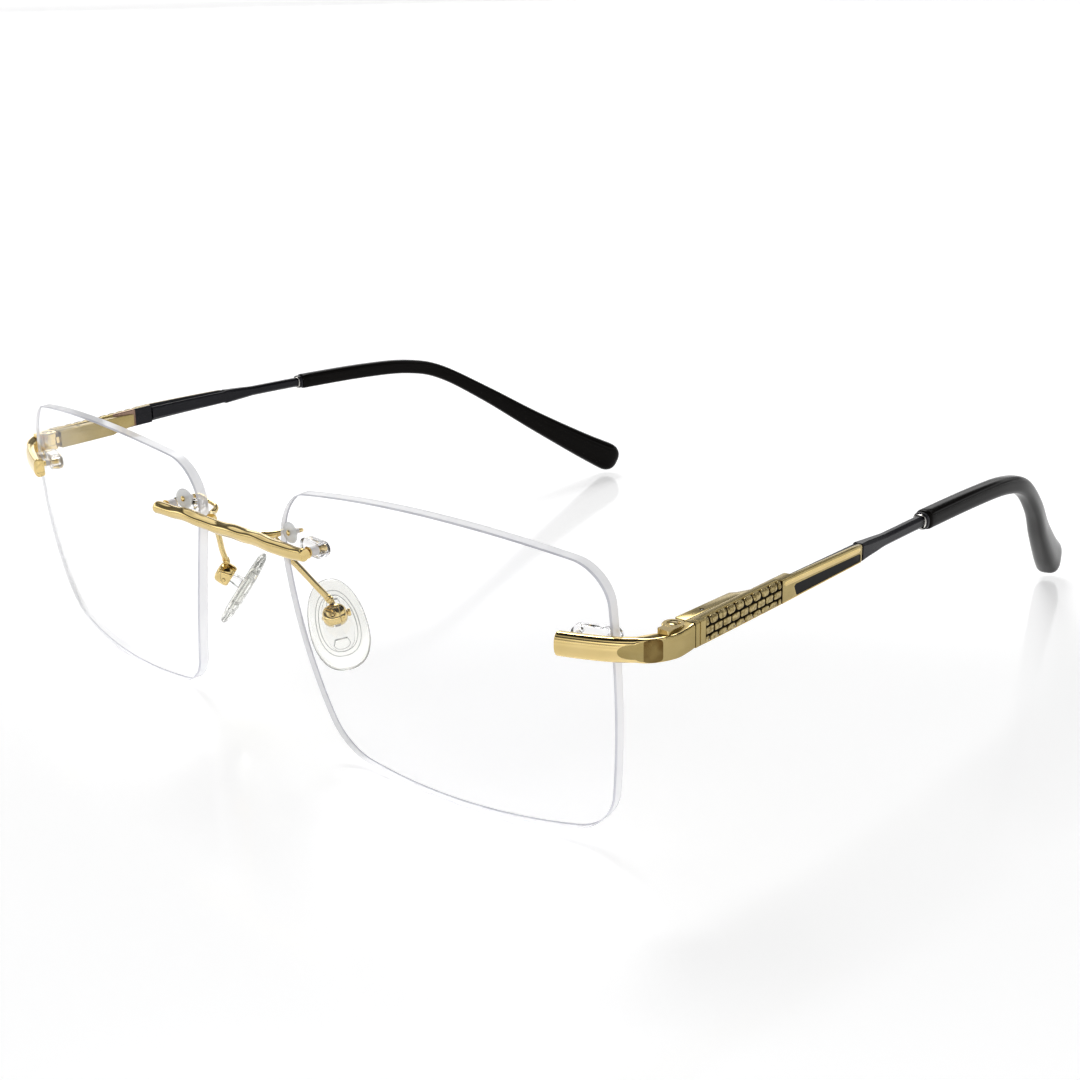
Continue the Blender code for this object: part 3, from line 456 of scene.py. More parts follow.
def pair(left, slot, body, *nodes):
    """Mirrors a left piece into its right twin, ties both to their bodies and hides the CAD nodes they
    stand for.
    """
    mesh = left.data.copy()
    mesh.transform(Matrix.Scale(-1, 4, X_AXIS))
    mesh.flip_normals()
    right = left.copy()
    right.data = mesh
    right.name = left.name.replace("_left", "_right")
    bpy.context.scene.collection.objects.link(right)
    for obj, side in ((left, "left"), (right, "right")):
        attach(obj, body.replace("SIDE", side))
        if nodes:
            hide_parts(*[node + "_" + side for node in nodes])


# Lens ---------------------------------------------------------------------------------------------

def lens_edge_point(edge, t):
    start, end = Vector(LENS_CORNERS[edge]), Vector(LENS_CORNERS[(edge + 1) % 4])
    run = end - start
    outward = Vector((run.y, -run.x)).normalized()
    bulge = LENS_BULGES[edge]
    return start + run * t + outward * (4 * t * (1 - t) * bulge), run + outward * (4 * (1 - 2 * t) * bulge)


def lens_outline(per_edge=30, per_corner=14):
    """The rounded four-sided outline of a lens, counter-clockwise from the lower nasal corner."""
    cuts = []
    for corner in range(4):
        here = Vector(LENS_CORNERS[corner])
        before = Vector(LENS_CORNERS[corner - 1]) - here
        after = Vector(LENS_CORNERS[(corner + 1) % 4]) - here
        angle = before.angle(after)
        reach = LENS_CORNER_RADII[corner] / math.tan(angle / 2)
        cuts.append((1 - reach / before.length, reach / after.length, math.sin(angle / 2)))
    outline = []
    for corner in range(4):
        leave, enter, weight = cuts[corner]
        a, a_run = lens_edge_point((corner - 1) % 4, leave)
        b, b_run = lens_edge_point(corner, enter)
        gap = b - a
        reach = (gap.x * b_run.y - gap.y * b_run.x) / (a_run.x * b_run.y - a_run.y * b_run.x)
        tip = a + a_run * reach
        for step in range(per_corner + 1):
            t = step / per_corner
            shares = ((1 - t) ** 2, 2 * weight * t * (1 - t), t * t)
            outline.append((a * shares[0] + tip * shares[1] + b * shares[2]) / sum(shares))
        stop = cuts[(corner + 1) % 4][0]
        for step in range(1, per_edge):
            outline.append(lens_edge_point(corner, enter + (stop - enter) * step / per_edge)[0])
    return outline


def lens_place(u, v, depth, lift=0.0):
    """Place of a lens point: u outwards, v up, depth back from the front face."""
    sag = (u * u + v * v) / (2 * LENS_RADIUS) + depth
    x = u * math.cos(LENS_WRAP) - sag * math.sin(LENS_WRAP)
    y = u * math.sin(LENS_WRAP) + sag * math.cos(LENS_WRAP)
    back = y * math.cos(LENS_TILT) - v * math.sin(LENS_TILT)
    rise = y * math.sin(LENS_TILT) + v * math.cos(LENS_TILT)
    return Vector((LENS_CENTRE_X + x, back, rise + lift))


LENS_CENTRE_Z = -min(lens_place(p.x, p.y, depth).z for p in lens_outline()
                     for depth in (LENS_BEVEL, LENS_THICK - LENS_BEVEL))


def on_lens(u, v, depth=0.0):
    return lens_place(u, v, depth, LENS_CENTRE_Z)


def lens_axes(u, v):
    """Unit vectors at a lens point: outwards along the face, up along it, and back through it."""
    step = 0.05
    out = (on_lens(u + step, v) - on_lens(u - step, v)).normalized()
    up = (on_lens(u, v + step) - on_lens(u, v - step)).normalized()
    return out, up, up.cross(out).normalized()


def lens_uv(x, z):
    """The u and v of the front-face point that has a given x and z."""
    u, v = x - LENS_CENTRE_X, z - LENS_CENTRE_Z
    for _ in range(12):
        found = on_lens(u, v)
        u, v = u + x - found.x, v + z - found.z
    return u, v


def lens_end_uv(u):
    return u, END_Z_TIP + 0.012 * (u - END_PIN_U[0]) - LENS_CENTRE_Z


def through_lens(name, spot, radius, front, back, look=LENS_BAND):
    """A round rod that passes squarely through the lens at a spot."""
    along = lens_axes(*spot)[2]
    return dowel(name, on_lens(*spot) + along * front, along, radius, back - front, look)


def make_lens():
    outline = lens_outline()
    count = len(outline)
    shares = (0.2, 0.45, 0.7, 0.88, 0.96)
    skin = [(share, 0.0, LENS_BEVEL) for share in shares + (1.0,)]
    skin += [(1.0, LENS_BEVEL, 0.0), (1.0, LENS_THICK - LENS_BEVEL, 0.0)]
    skin += [(share, LENS_THICK, LENS_BEVEL) for share in (1.0,) + shares[::-1]]
    points = []
    for share, depth, inset in skin:
        for p in outline:
            q = p * share * (p.length - inset) / p.length
            points.append(on_lens(q.x, q.y, depth))
    points += [on_lens(0, 0, 0), on_lens(0, 0, LENS_THICK)]
    front, back = len(points) - 2, len(points) - 1
    faces = ring_faces(len(skin), count, closed_ends=False)
    # Edge rows: the band takes look 1, and the bevels beside it take look 2, the painted shade lines
    bands = {len(shares): 2, len(shares) + 1: 1, len(shares) + 2: 2}
    look_of = [bands.get(number // count, 0) for number in range(len(faces))]
    last = (len(skin) - 1) * count
    faces += [(front, (k + 1) % count, k) for k in range(count)]
    faces += [(back, last + k, last + (k + 1) % count) for k in range(count)]
    look_of += [0] * (2 * count)
    looks = [LENS_FACE, LENS_BAND, LENS_SHADE_LINE]
    lens = mesh_object("lens_clear_left", points, faces, looks, look_of, sharp=28)
    holes = [(lens_uv(POST_X, BAR_Z), POST_R), (PRONG_UV, PRONG_R), (lens_end_uv(END_PIN_U[0]), END_PIN_R)]
    tools = [through_lens("hole_%d" % n, spot, radius + FIT_GAP, -3, 3)
             for n, (spot, radius) in enumerate(holes)]
    tools.append(edge_notch())
    for tool in tools:
        share_looks(lens, tool, 1)
    pair(cut(lens, *tools), "lens_clear", "front", "lens")


def plug_outline(half_long, half_tall, count=14):
    """A stadium: two half circles joined by straight sides."""
    outline = []
    for end in (1, -1):
        for k in range(count + 1):
            turn = -math.pi / 2 + math.pi * k / count
            outline.append((end * (half_long - half_tall + half_tall * math.cos(turn)),
                            end * half_tall * math.sin(turn)))
    return outline


def edge_notch():
    """The open slot in the lens edge that the end piece's outer pin sits in."""
    spot = lens_end_uv(END_PIN_U[1])
    out, up, back = lens_axes(*spot)
    half = END_PIN_R + FIT_GAP
    reach = 2.5
    rings = []
    for depth in (-3, 4):
        middle = on_lens(*spot) + out * reach + back * depth
        rings.append([middle + out * a + up * b for a, b in plug_outline(reach + half, half)])
    return loft("edge_notch", rings, LENS_BAND)


# Bridge -------------------------------------------------------------------------------------------

def make_bar():
    """A hand-forged twig: slow waves in width and place, and shallow ridges that wind along it."""
    stops = [-BAR_HALF + reach for reach in (0, 0.05, 0.15, 0.35)]
    stops += [-BAR_HALF + 0.7 + (2 * BAR_HALF - 1.0) * k / 150 for k in range(151)]
    stops += [BAR_HALF - 0.12, BAR_HALF]
    count = 44
    rings = []
    for x in stops:
        from_left, from_right = x + BAR_HALF, BAR_HALF - x
        close = min(1.0, 0.55 + 0.45 * math.sqrt(min(1.0, from_left / 0.6)))
        close = min(close, 0.86 + 0.14 * min(1.0, from_right / 0.16))
        swell = 1.0 + 0.1 * math.cos(x * math.pi / (2 * BAR_HALF)) + 0.03 * math.sin(0.6 * x + 0.5)
        centre = Vector((x, BAR_Y, BAR_Z + 0.1 * math.sin(0.42 * x - 0.6) + 0.04 * math.sin(1.1 * x)))
        ring = []
        for k in range(count):
            turn = 2 * math.pi * k / count
            ridge = (0.1 * abs(math.sin(1.5 * turn + 0.06 * x + 0.4))
                     + 0.02 * math.sin(2 * turn - 0.2 * x + 1))
            knot = 0.02 * math.sin(0.7 * x + 2 * math.sin(turn))
            r = (BAR_R * swell * 0.83 + ridge + knot) * close
            ring.append(centre + Y_AXIS * r * math.cos(turn) + Z_AXIS * r * math.sin(turn))
        rings.append(ring)
    bar = loft("bridge_twig", rings, GOLD, sharp=50)
    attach(bar, "front")
    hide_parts("bridge_bar")


def make_posts():
    spot = lens_uv(POST_X, BAR_Z)
    front = on_lens(*spot)
    along = lens_axes(*spot)[2]
    start = front - along * (front.y - BAR_Y - BAR_R * 1.08)
    reach = (front - start).length + LENS_THICK + FIT_GAP + PLUG_THICK * 0.75
    stations = ((0, POST_R * 1.3), (0.25, POST_R * 1.05), (0.5, POST_R), (reach - 0.15, POST_R),
                (reach, POST_R * 0.8))
    pair(turned("post_left", start, along, stations, GOLD), "gold", "front", "bridge_post")


def clear_plug(name, spot, half_long, half_tall, sockets):
    """A clear moulded pad behind the lens, with round edges and a blind socket for each post."""
    out, up, back = lens_axes(*spot)
    seat = on_lens(spot[0], spot[1], LENS_THICK) + back * (SEAT_GAP + half_long ** 2 / (2 * LENS_RADIUS))
    rings = []
    top = PLUG_THICK
    levels = ((0, 0.16), (0.05, 0.05), (0.18, 0), (top - 0.4, 0), (top - 0.22, 0.05), (top - 0.08, 0.16),
              (top, 0.36))
    for depth, shrink in levels:
        outline = plug_outline(half_long - shrink, half_tall - shrink)
        rings.append([seat + out * a + up * b + back * depth for a, b in outline])
    plug = loft(name, rings, RESIN, sharp=45)
    deep = LENS_THICK + 2 * FIT_GAP + PLUG_THICK * 0.78
    tools = [through_lens("socket_%d" % n, socket, radius + FIT_GAP, -1, deep, RESIN)
             for n, (socket, radius) in enumerate(sockets)]
    return cut(plug, *tools)


def make_plugs():
    post = lens_uv(POST_X, BAR_Z)
    middle = (post[0] - 1.5, post[1] - 0.38)
    bridge = clear_plug("bridge_clear_plug_left", middle, 2.6, 1.15, [(post, POST_R)])
    pair(bridge, "clear_plastic", "front", "bridge_plug")
    sockets = [(lens_end_uv(u), END_PIN_R) for u in END_PIN_U]
    middle = (sum(END_PIN_U) / 2 - 0.35, sockets[0][0][1] - 0.2)
    end = clear_plug("end_clear_plug_left", middle, 3.2, 1.2, sockets)
    pair(end, "clear_plastic", "front", "endpiece_plug")


def make_foot():
    """The wire from behind the bar that loops round the lens edge and comes forward through it."""
    back = lens_axes(*PRONG_UV)[2]
    tip = on_lens(*PRONG_UV) - back * 0.55
    heel = on_lens(*PRONG_UV) + back * (LENS_THICK + 0.42)
    start = Vector((6.2, BAR_Y + BAR_R * 1.2 + 0.45, BAR_Z))
    route = [start, Vector((7.4, 0.5, 31.9)), Vector((9.0, 2.3, 32.4)), heel + Vector((-0.6, 0.3, -0.2))]
    path = smooth_path(route, 12)
    path += [heel + (tip - heel) * share for share in (0, 0.06, 0.2, 0.6, 0.95, 1)]
    steps = len(path) - 1

    def section(share, centre, side, up):
        thick = PRONG_R + 0.5 * max(0.0, 1 - share * 1.7)
        if share > 1 - 0.5 / steps:
            thick *= 0.7
        return rounded_ring(centre, side, up, thick, thick * 0.92, 24)

    rings = sweep_rings(path, section, Vector((-0.3, 0.1, 1)))
    pair(loft("prong_wire_left", rings, GOLD, sharp=60), "gold", "front", "bridge_foot")


def make_washer():
    """A clear dished washer under the prong's head."""
    out, up, back = lens_axes(*PRONG_UV)
    profile = ((PRONG_R + FIT_GAP, 0.02), (0.8, 0.0), (1.28, 0.03), (1.45, 0.12), (1.5, 0.24), (1.45, 0.33),
               (PRONG_R + FIT_GAP, 0.33))
    count = 40
    points = []
    for radius, level in profile:
        for k in range(count):
            turn = 2 * math.pi * k / count
            wide = 1 + 0.2 * (radius - PRONG_R) / 1.2
            points.append(on_lens(*PRONG_UV) + (out * math.cos(turn) * wide + up * math.sin(turn)) * radius
                          + back * (level - 0.38))
    faces = ring_faces(len(profile), count, closed_ends=False)
    last = (len(profile) - 1) * count
    faces += [(last + k, last + (k + 1) % count, (k + 1) % count, k) for k in range(count)]
    pair(mesh_object("clear_washer_left", points, faces, [FROSTED], sharp=50), "clear_plastic", "front",
         "bridge_washer")
    head = turned("prong_head_left", on_lens(*PRONG_UV) - back * 0.62, back,
                  ((0, 0.16), (0.04, 0.3), (0.12, 0.4), (0.2, 0.42), (0.23, 0.34)), GOLD)
    pair(head, "gold", "front")


# Nose pad -----------------------------------------------------------------------------------------

PAD_MIDDLE = (PAD_TOP + PAD_BOTTOM) / 2
PAD_UP = (PAD_TOP - PAD_BOTTOM).normalized()
PAD_FACE = (PAD_FACING - PAD_UP * PAD_FACING.dot(PAD_UP)).normalized()
PAD_ACROSS = PAD_FACE.cross(PAD_UP).normalized()
PAD_PIVOT = PAD_MIDDLE - PAD_FACE * (PAD_BOX_BACK - 0.6) + PAD_UP * 0.5


def pad_point(across, up, out):
    return PAD_MIDDLE + PAD_ACROSS * across + PAD_UP * up + PAD_FACE * out


def pad_ring(half_wide, half_long, out, count=72):
    """A rounded D: straighter on the outer side and fuller below."""
    ring = []
    for k in range(count):
        turn = 2 * math.pi * k / count
        c, s = math.cos(turn), math.sin(turn)
        a = math.copysign(abs(c) ** 0.86, c) * half_wide * (1 - 0.1 * s) - 0.06 * half_wide * s
        b = math.copysign(abs(s) ** 0.92, s) * half_long
        ring.append(pad_point(a, b, out))
    return ring


def make_nose_pad():
    """Clear silicone, crowned on the nose side, with a pocket behind for its core."""
    long, wide = PAD_LONG / 2, PAD_WIDE / 2
    steps = ((0.6, -0.74), (0.8, -0.73), (0.88, -0.68), (0.95, -0.5), (0.99, -0.25), (1.0, -0.05),
             (0.985, 0.2), (0.93, 0.45), (0.83, 0.66), (0.68, 0.8), (0.5, 0.89), (0.3, 0.93), (0.12, 0.945))
    rings = [pad_ring(wide * scale, long * scale, out) for scale, out in steps]
    pad = loft("silicone_pad_left", rings, SILICONE, sharp=60)
    rings = [pad_ring(wide * 0.5 + FIT_GAP, long * 0.6 + FIT_GAP, out) for out in (-2, 0.2)]
    pocket = loft("pocket", rings, SILICONE)
    pair(cut(pad, pocket), "pad_silicone", "nose_pad_SIDE", "nose_pad")
    # Grey beads along the core's outline, the pad's rim and the two windows: painted shade lines
    for number, (scale, out) in enumerate(((0.62, -0.73), (0.72, -0.735), (0.985, -0.2))):
        loop = pad_ring(wide * scale, long * scale * 0.99, out, 96)
        pair(pad_bead("pad_rim_%d_left" % number, loop, 0.06), "pad_silicone", "nose_pad_SIDE")
    for name, up_low, up_high, half in (("low", -3.9, -2.3, 1.15), ("high", 2.3, 3.6, 0.95)):
        window = [pad_point(a, b, -0.73) for a, b in d_outline(up_low, up_high, half)]
        pair(pad_bead("pad_window_%s_left" % name, window, 0.045), "pad_silicone", "nose_pad_SIDE")


def pad_bead(name, loop, thick):
    """A fine raised line round a closed loop on the pad, painted grey as a shade line."""
    middle = sum(loop, Vector()) / len(loop)
    points = []
    for p in loop:
        away = (p - middle).normalized()
        for a, b in ((1, 0), (0.5, 0.87), (-0.5, 0.87), (-1, 0), (-0.5, -0.87), (0.5, -0.87)):
            points.append(p + away * a * thick + PAD_FACE * b * thick)
    faces = []
    total = len(loop)
    for k in range(total):
        here, there = k * 6, (k + 1) % total * 6
        faces += [(here + j, here + (j + 1) % 6, there + (j + 1) % 6, there + j) for j in range(6)]
    return mesh_object(name, points, faces, [PAD_SHADE_LINE], sharp=80)


def d_outline(low, high, half_wide):
    """The outline of a D: a straight upper end and a round lower one."""
    outline = [(half_wide * (1 - k / 4), high) for k in range(1, 8)]
    for k in range(13):
        turn = math.pi * k / 12
        outline.append((-half_wide * math.cos(turn), low + (high - low) * 0.5 * (1 - math.sin(turn))))
    return outline


def d_window(name, low, high, half_wide):
    rings = [[pad_point(a, b, out) for a, b in d_outline(low, high, half_wide)] for out in (-2, 1)]
    return loft(name, rings, PAD_SHADE_LINE)


def make_pad_core():
    """The stiff insert: an oval frame with two D windows, and the lug that the box grips."""
    rings = [pad_ring(PAD_WIDE * 0.25, PAD_LONG * 0.3, out) for out in (-0.7, 0.1)]
    plate = loft("pad_insert_left", rings, RESIN)
    plate = cut(plate, d_window("low_window", -3.9, -2.3, 1.1), d_window("high_window", 2.3, 3.6, 0.9))
    foot = PAD_MIDDLE - PAD_FACE * 0.4 + PAD_UP * 0.5
    neck = [box_ring(foot - PAD_FACE * reach, PAD_ACROSS, PAD_UP, 0.42, tall, 0.12)
            for reach, tall in ((0, 1.1), (0.7, 0.9), (2.0, 0.65), (PAD_BOX_BACK - 0.45, 0.55))]
    plate = cut(plate, loft("pad_neck", neck, RESIN), operation="UNION")
    pair(plate, "clear_plastic", "nose_pad_SIDE", "pad_core")


def make_pad_box():
    """The gold bead on the pad arm: a barrel with a socket behind, a slot for the lug and a clamp bolt."""
    back = PAD_PIVOT - PAD_FACE * 1.6
    rings = []
    for reach, wide, tall in ((-0.02, 0.8, 0.65), (0.06, 1.2, 1.0), (0.25, 1.52, 1.3), (0.6, 1.68, 1.48),
                              (1.2, 1.75, 1.54), (2.0, 1.74, 1.53), (2.35, 1.66, 1.42), (2.5, 1.5, 1.25)):
        rings.append(rounded_ring(back + PAD_FACE * reach, PAD_ACROSS, PAD_UP, wide, tall, 48, 2.5))
    box = loft("pad_bead_left", rings, GOLD, sharp=50)
    slot = prism("slot", [PAD_PIVOT + PAD_FACE * reach for reach in (-0.75, 3)], PAD_ACROSS, PAD_UP,
                 0.5, 2.2, 0.05)
    socket = dowel("socket", back - PAD_FACE * 0.5 - PAD_ACROSS * 0.25 - PAD_UP * 0.05, PAD_FACE, 0.52, 1.0)
    groove_start = back - PAD_FACE * 0.4 + PAD_ACROSS * 0.75
    groove = prism("groove", [groove_start + PAD_FACE * reach for reach in (0, 1.1)], PAD_ACROSS, PAD_UP,
                   0.07, 1.6, 0.03)
    bore = dowel("bore", PAD_PIVOT - PAD_ACROSS * 3, PAD_ACROSS, 0.3, 6)
    pair(cut(box, slot, socket, groove, bore), "gold", "front", "pad_box")
    stud = turned("pad_bead_stud_left", back + PAD_FACE * 0.1 - PAD_ACROSS * 0.25 - PAD_UP * 0.05, PAD_FACE,
                  ((0, 0.12), (0.05, 0.26), (0.3, 0.34), (0.45, 0.34)))
    pair(stud, "gold", "front")
    start = PAD_PIVOT - PAD_ACROSS * 1.85
    screw = turned("pad_bolt_left", start, PAD_ACROSS,
                   ((0, 0.18), (0.08, 0.26), (3.62, 0.26), (3.62, 0.5), (3.7, 0.55), (3.95, 0.55),
                    (4.05, 0.47), (4.1, 0.3)))
    slit = prism("slit", [start + PAD_ACROSS * reach for reach in (3.93, 4.4)], PAD_FACE, PAD_UP,
                 0.07, 1.0, 0.02)
    pair(cut(screw, slit), "gold", "front", "pad_screw")


def make_pad_arm():
    """The wire from the bar's end down to the pad's box, with a cuff just above the box."""
    end = PAD_PIVOT - PAD_FACE * 1.0 + PAD_UP * 1.5
    route = [*PAD_ARM_ROUTE, end + PAD_UP * 0.5 - PAD_ACROSS * 0.1]
    path = smooth_path(route, 14) + [end]

    def section(share, centre, side, up):
        return rounded_ring(centre, side, up, PAD_ARM_R, PAD_ARM_R, 24)

    wire = loft("pad_wire_left", sweep_rings(path, section, Vector((0, 1, 0.2))), GOLD, sharp=60)
    pair(wire, "gold", "front", "pad_arm")
    along = (path[-3] - path[-8]).normalized()
    cuff = turned("pad_wire_cuff_left", path[-2] - along * 0.9, along,
                  ((0, 0.46), (0.06, 0.54), (0.32, 0.56), (0.4, 0.47), (0.48, 0.56), (0.8, 0.57),
                   (0.88, 0.5)))
    pair(cuff, "gold", "front")


# End piece ----------------------------------------------------------------------------------------

def end_height(share):
    return END_Z_TIP + (END_Z_JOINT - END_Z_TIP) * share ** 1.4


def end_path(per_span):
    flat = [(x, y, 0) for x, y in END_ROUTE] + [(OUTER_X - END_DEEP / 2, JOINT_Y - JOINT_GAP, 0)]
    path = smooth_path(flat, per_span)
    steps = len(path) - 1
    return [Vector((p.x, p.y, end_height(i / steps))) for i, p in enumerate(path)]


def facet_tool(name, touch, azimuth, shave):
    """A block whose flat face shaves the bar where it faces a given way."""
    normal = Vector((math.cos(azimuth), math.sin(azimuth), 0))
    across = Z_AXIS.cross(normal)
    corners = ((-2.4, -4), (2.4, -4), (2.4, 4), (-2.4, 4))
    rings = []
    for reach in (-shave, 4):
        middle = Vector((*touch, END_Z_JOINT)) + normal * reach
        rings.append([middle + across * a + Z_AXIS * b for a, b in corners])
    return loft(name, rings, GOLD)


def make_endpiece():
    """A half-round bar that bends back to a flat-sided hinge block, with facets cut across the bend."""
    path = end_path(10)
    path = [path[0]] + [path[0] + (path[1] - path[0]) * s for s in (0.12, 0.3, 0.65)] + path[1:]
    steps = len(path) - 1
    tips = {0: 0.86, 1: 0.93, 2: 0.975, 3: 0.995}

    def section(share, centre, side, up):
        flat = min(1.0, max(0.0, (share - 0.46) / 0.12))
        power = 2.3 + 5.0 * flat
        tip = tips.get(round(share * steps), 1)
        deep, tall = END_DEEP / 2 * (0.9 + 0.1 * tip), END_TALL / 2 * tip
        ring = rounded_ring(centre, side, up, deep, tall, 56, power)
        inner = [p for p in ring if (p - centre).dot(side) < 0]
        for p in inner:
            depth = (p - centre).dot(side)
            p -= side * (depth + END_DEEP / 2 * min(1.0, -depth / (END_DEEP / 2) * 1.5))
        return ring

    body = loft("corner_bar_left", sweep_rings(path, section, level=True), GOLD, sharp=30)
    low, high = END_Z_JOINT - END_TALL / 2 + 0.02, END_Z_JOINT + END_TALL / 2 - 0.02
    base = Vector((HINGE_X, HINGE_Y, 0))
    knuckle = turned("knuckle", base + Z_AXIS * low, Z_AXIS,
                     ((0, KNUCKLE_R - 0.15), (0.12, KNUCKLE_R), (high - low - 0.15, KNUCKLE_R),
                      (high - low, KNUCKLE_R - 0.15)), GOLD, 40)
    web_x = (HINGE_X - 0.4 + OUTER_X - 0.9) / 2
    web = prism("web", [Vector((web_x, HINGE_Y - 1.15, z)) for z in (low + 0.01, high - 0.01)],
                X_AXIS, Y_AXIS, (OUTER_X - 0.5 - HINGE_X) / 2, 1.45, 0.2)
    body = cut(body, knuckle, web, operation="UNION")
    half = EYE_TALL / 2 + FIT_GAP
    slot_start = base + Z_AXIS * (END_Z_JOINT - half)
    room = dowel("room", slot_start, Z_AXIS, KNUCKLE_R + 0.06, 2 * half, count=40)
    swing = prism("swing", [base + Vector((-2, 1.35, z)) for z in (END_Z_JOINT - half, END_Z_JOINT + half)],
                  X_AXIS, Y_AXIS, 2, 2.65, 0.02)
    bore = dowel("bore", base + Z_AXIS * (low - 1), Z_AXIS, SCREW_R + FIT_GAP, 6)
    sink = turned("sink", base + Z_AXIS * (high - 0.4), Z_AXIS, ((0, 0.8), (0.4, 0.88), (1.2, 0.88)),
                  count=32)
    body = cut(body, room, swing, bore, sink)
    body.data.materials.append(SATIN)
    # The third look is painted shade: the second corner facet is coloured a much darker gold
    body.data.materials.append(SHADE_PAINTED_GOLD)
    for number, (touch, facing, shave, look) in enumerate(CORNER_FACETS):
        tool = facet_tool("facet_%d" % number, touch, math.radians(facing), shave)
        share_looks(body, tool, look)
        cut(body, tool)
    for face in body.data.polygons:
        if face.normal.x > 0.74 and face.center.y / MM + ORIGIN.y > SIDE_PANEL_Y:
            face.material_index = 1
    pair(soften(body, 0.06), "gold", "front", "endpiece")


def make_end_pins():
    for number, name in enumerate(("endpiece_inner_pin", "endpiece_outer_pin")):
        spot = lens_end_uv(END_PIN_U[number])
        reach = LENS_THICK + FIT_GAP + PLUG_THICK * 0.7
        front = -END_PIN_FORWARD[number]
        stations = ((0, END_PIN_R), (reach - front - 0.12, END_PIN_R), (reach - front, END_PIN_R * 0.75))
        along = lens_axes(*spot)[2]
        pin = turned("end_pin_%d_left" % number, on_lens(*spot) + along * front, along, stations, GOLD)
        pair(pin, "gold", "front", name)


def make_hinge_screw():
    low, high = END_Z_JOINT - END_TALL / 2, END_Z_JOINT + END_TALL / 2
    base = Vector((HINGE_X, HINGE_Y, low))
    tall = high - low
    stations = ((0, 0.32), (0.15, SCREW_R), (tall - 0.36, SCREW_R), (tall - 0.36, 0.72), (tall - 0.3, 0.76),
                (tall - 0.14, 0.74), (tall - 0.05, 0.62), (tall, 0.4))
    screw = turned("slotted_screw_left", base, Z_AXIS, stations, GOLD, 32)
    slit = prism("slit", [base + Z_AXIS * z for z in (tall - 0.2, tall + 1)], X_AXIS, Y_AXIS,
                 1.0, 0.1, 0.02)
    slit.data.transform(Matrix.Translation(placed(base)) @ Matrix.Rotation(math.radians(35), 4, "Z")
                        @ Matrix.Translation(-placed(base)))
    pair(cut(screw, slit), "gold", "front", "hinge_screw")


# Temple -------------------------------------------------------------------------------------------

def temple_line(per_span):
    return smooth_path(TEMPLE_AXIS, per_span)


FINE_LINE = temple_line(24)


def temple_at(y):
    """The temple's middle line at a given distance back."""
    for a, b in zip(FINE_LINE, FINE_LINE[1:]):
        if a.y <= y <= b.y:
            return a + (b - a) * ((y - a.y) / (b.y - a.y))
    return FINE_LINE[-1]


def on_temple(y, across, up):
    return temple_at(y) + Vector((across, 0, up))


def plate(name, outline, levels, look, sharp=40):
    """A plate on the temple's side, with its outline in y and height; levels give its reach and inset."""
    y_mid = sum(y for y, _ in outline) / len(outline)
    z_mid = sum(z for _, z in outline) / len(outline)
    rings = []
    for across, inset in levels:
        ring = []
        for y, z in outline:
            reach = math.hypot(y - y_mid, z - z_mid)
            keep = max(0.0, 1 - inset / reach)
            ring.append(on_temple(y_mid + (y - y_mid) * keep, across, z_mid + (z - z_mid) * keep))
        rings.append(ring)
    return loft(name, rings, look, sharp)


def side_outline(y0, y1, z0, z1, radius, steps=5):
    return [((y0 + y1) / 2 + a, (z0 + z1) / 2 + b)
            for a, b in soft_box((y1 - y0) / 2, (z1 - z0) / 2, radius, steps)]


def casing_rings():
    low, high = END_Z_JOINT - END_TALL / 2 + 0.06, END_Z_JOINT + END_TALL / 2 - 0.02
    y0, y1 = CASING_Y
    stations = ((y0, CASING_INNER_X + 0.08, 0.1), (y0 + 0.1, CASING_INNER_X, 0.05),
                (y1 - 0.9, CASING_INNER_X + 0.1, 0.0), (y1, CASING_INNER_X + 0.55, 0.1),
                (y1 + 4.2, CASING_INNER_X + 1.35, 0.5))
    rings = []
    for y, inner, drop in stations:
        x1 = temple_at(y).x - TEMPLE_THICK / 2 - FIT_GAP
        middle = Vector(((inner + x1) / 2, y, (low + high) / 2 + 0.03 * (y - y0)))
        rings.append(box_ring(middle, X_AXIS, Z_AXIS, (x1 - inner) / 2, (high - low) / 2 - drop, 0.14))
    return rings


def make_casing():
    """The spring housing inside the temple, open in front for the slider, with a pin set in its top."""
    casing = loft("spring_box_left", casing_rings(), SATIN, sharp=25)
    rod_x = CASING_INNER_X + 0.88
    half = EYE_TALL / 2
    high = END_Z_JOINT + END_TALL / 2 - 0.02
    mouth = prism("mouth", [Vector((rod_x, y, END_Z_JOINT)) for y in (CASING_Y[0] - 1, 14.95)],
                  X_AXIS, Z_AXIS, 0.46, half + 0.02, 0.05, SATIN)
    hollow = dowel("hollow", Vector((rod_x, 13.35, END_Z_JOINT)), Y_AXIS, 0.58, 8.5, SATIN)
    dot_base = Vector((rod_x + 0.1, 16.6, high - 0.25))
    dot = dowel("dot", dot_base, Z_AXIS, 0.3, 1.4, SATIN)
    pair(cut(casing, mouth, hollow, dot), "gold", "temple_SIDE", "spring_casing")
    pin = turned("casing_pin_left", dot_base, Z_AXIS, ((0, 0.17), (0.2, 0.17), (0.27, 0.1)), STEEL)
    pair(pin, "steel", "temple_SIDE")


def inlay_outline(grow=0.0):
    start, end = INLAY_Y - grow, GOLD_END_Y - 0.6 + grow
    low, high = -1.28 - grow, 0.3 + grow
    rows = [(start + 0.7 + (end - start - 1.1) * k / 30, low + 0.16 * k / 30) for k in range(31)]
    rows += [(end, low + 0.35), (end, high - 0.4)]
    rows += [(start + 0.3 + (end - start - 0.7) * k / 30, high - 0.2 * k / 30) for k in range(30, -1, -1)]
    return rows + [(start, high - 0.3), (start + 0.45, low + 0.25)]


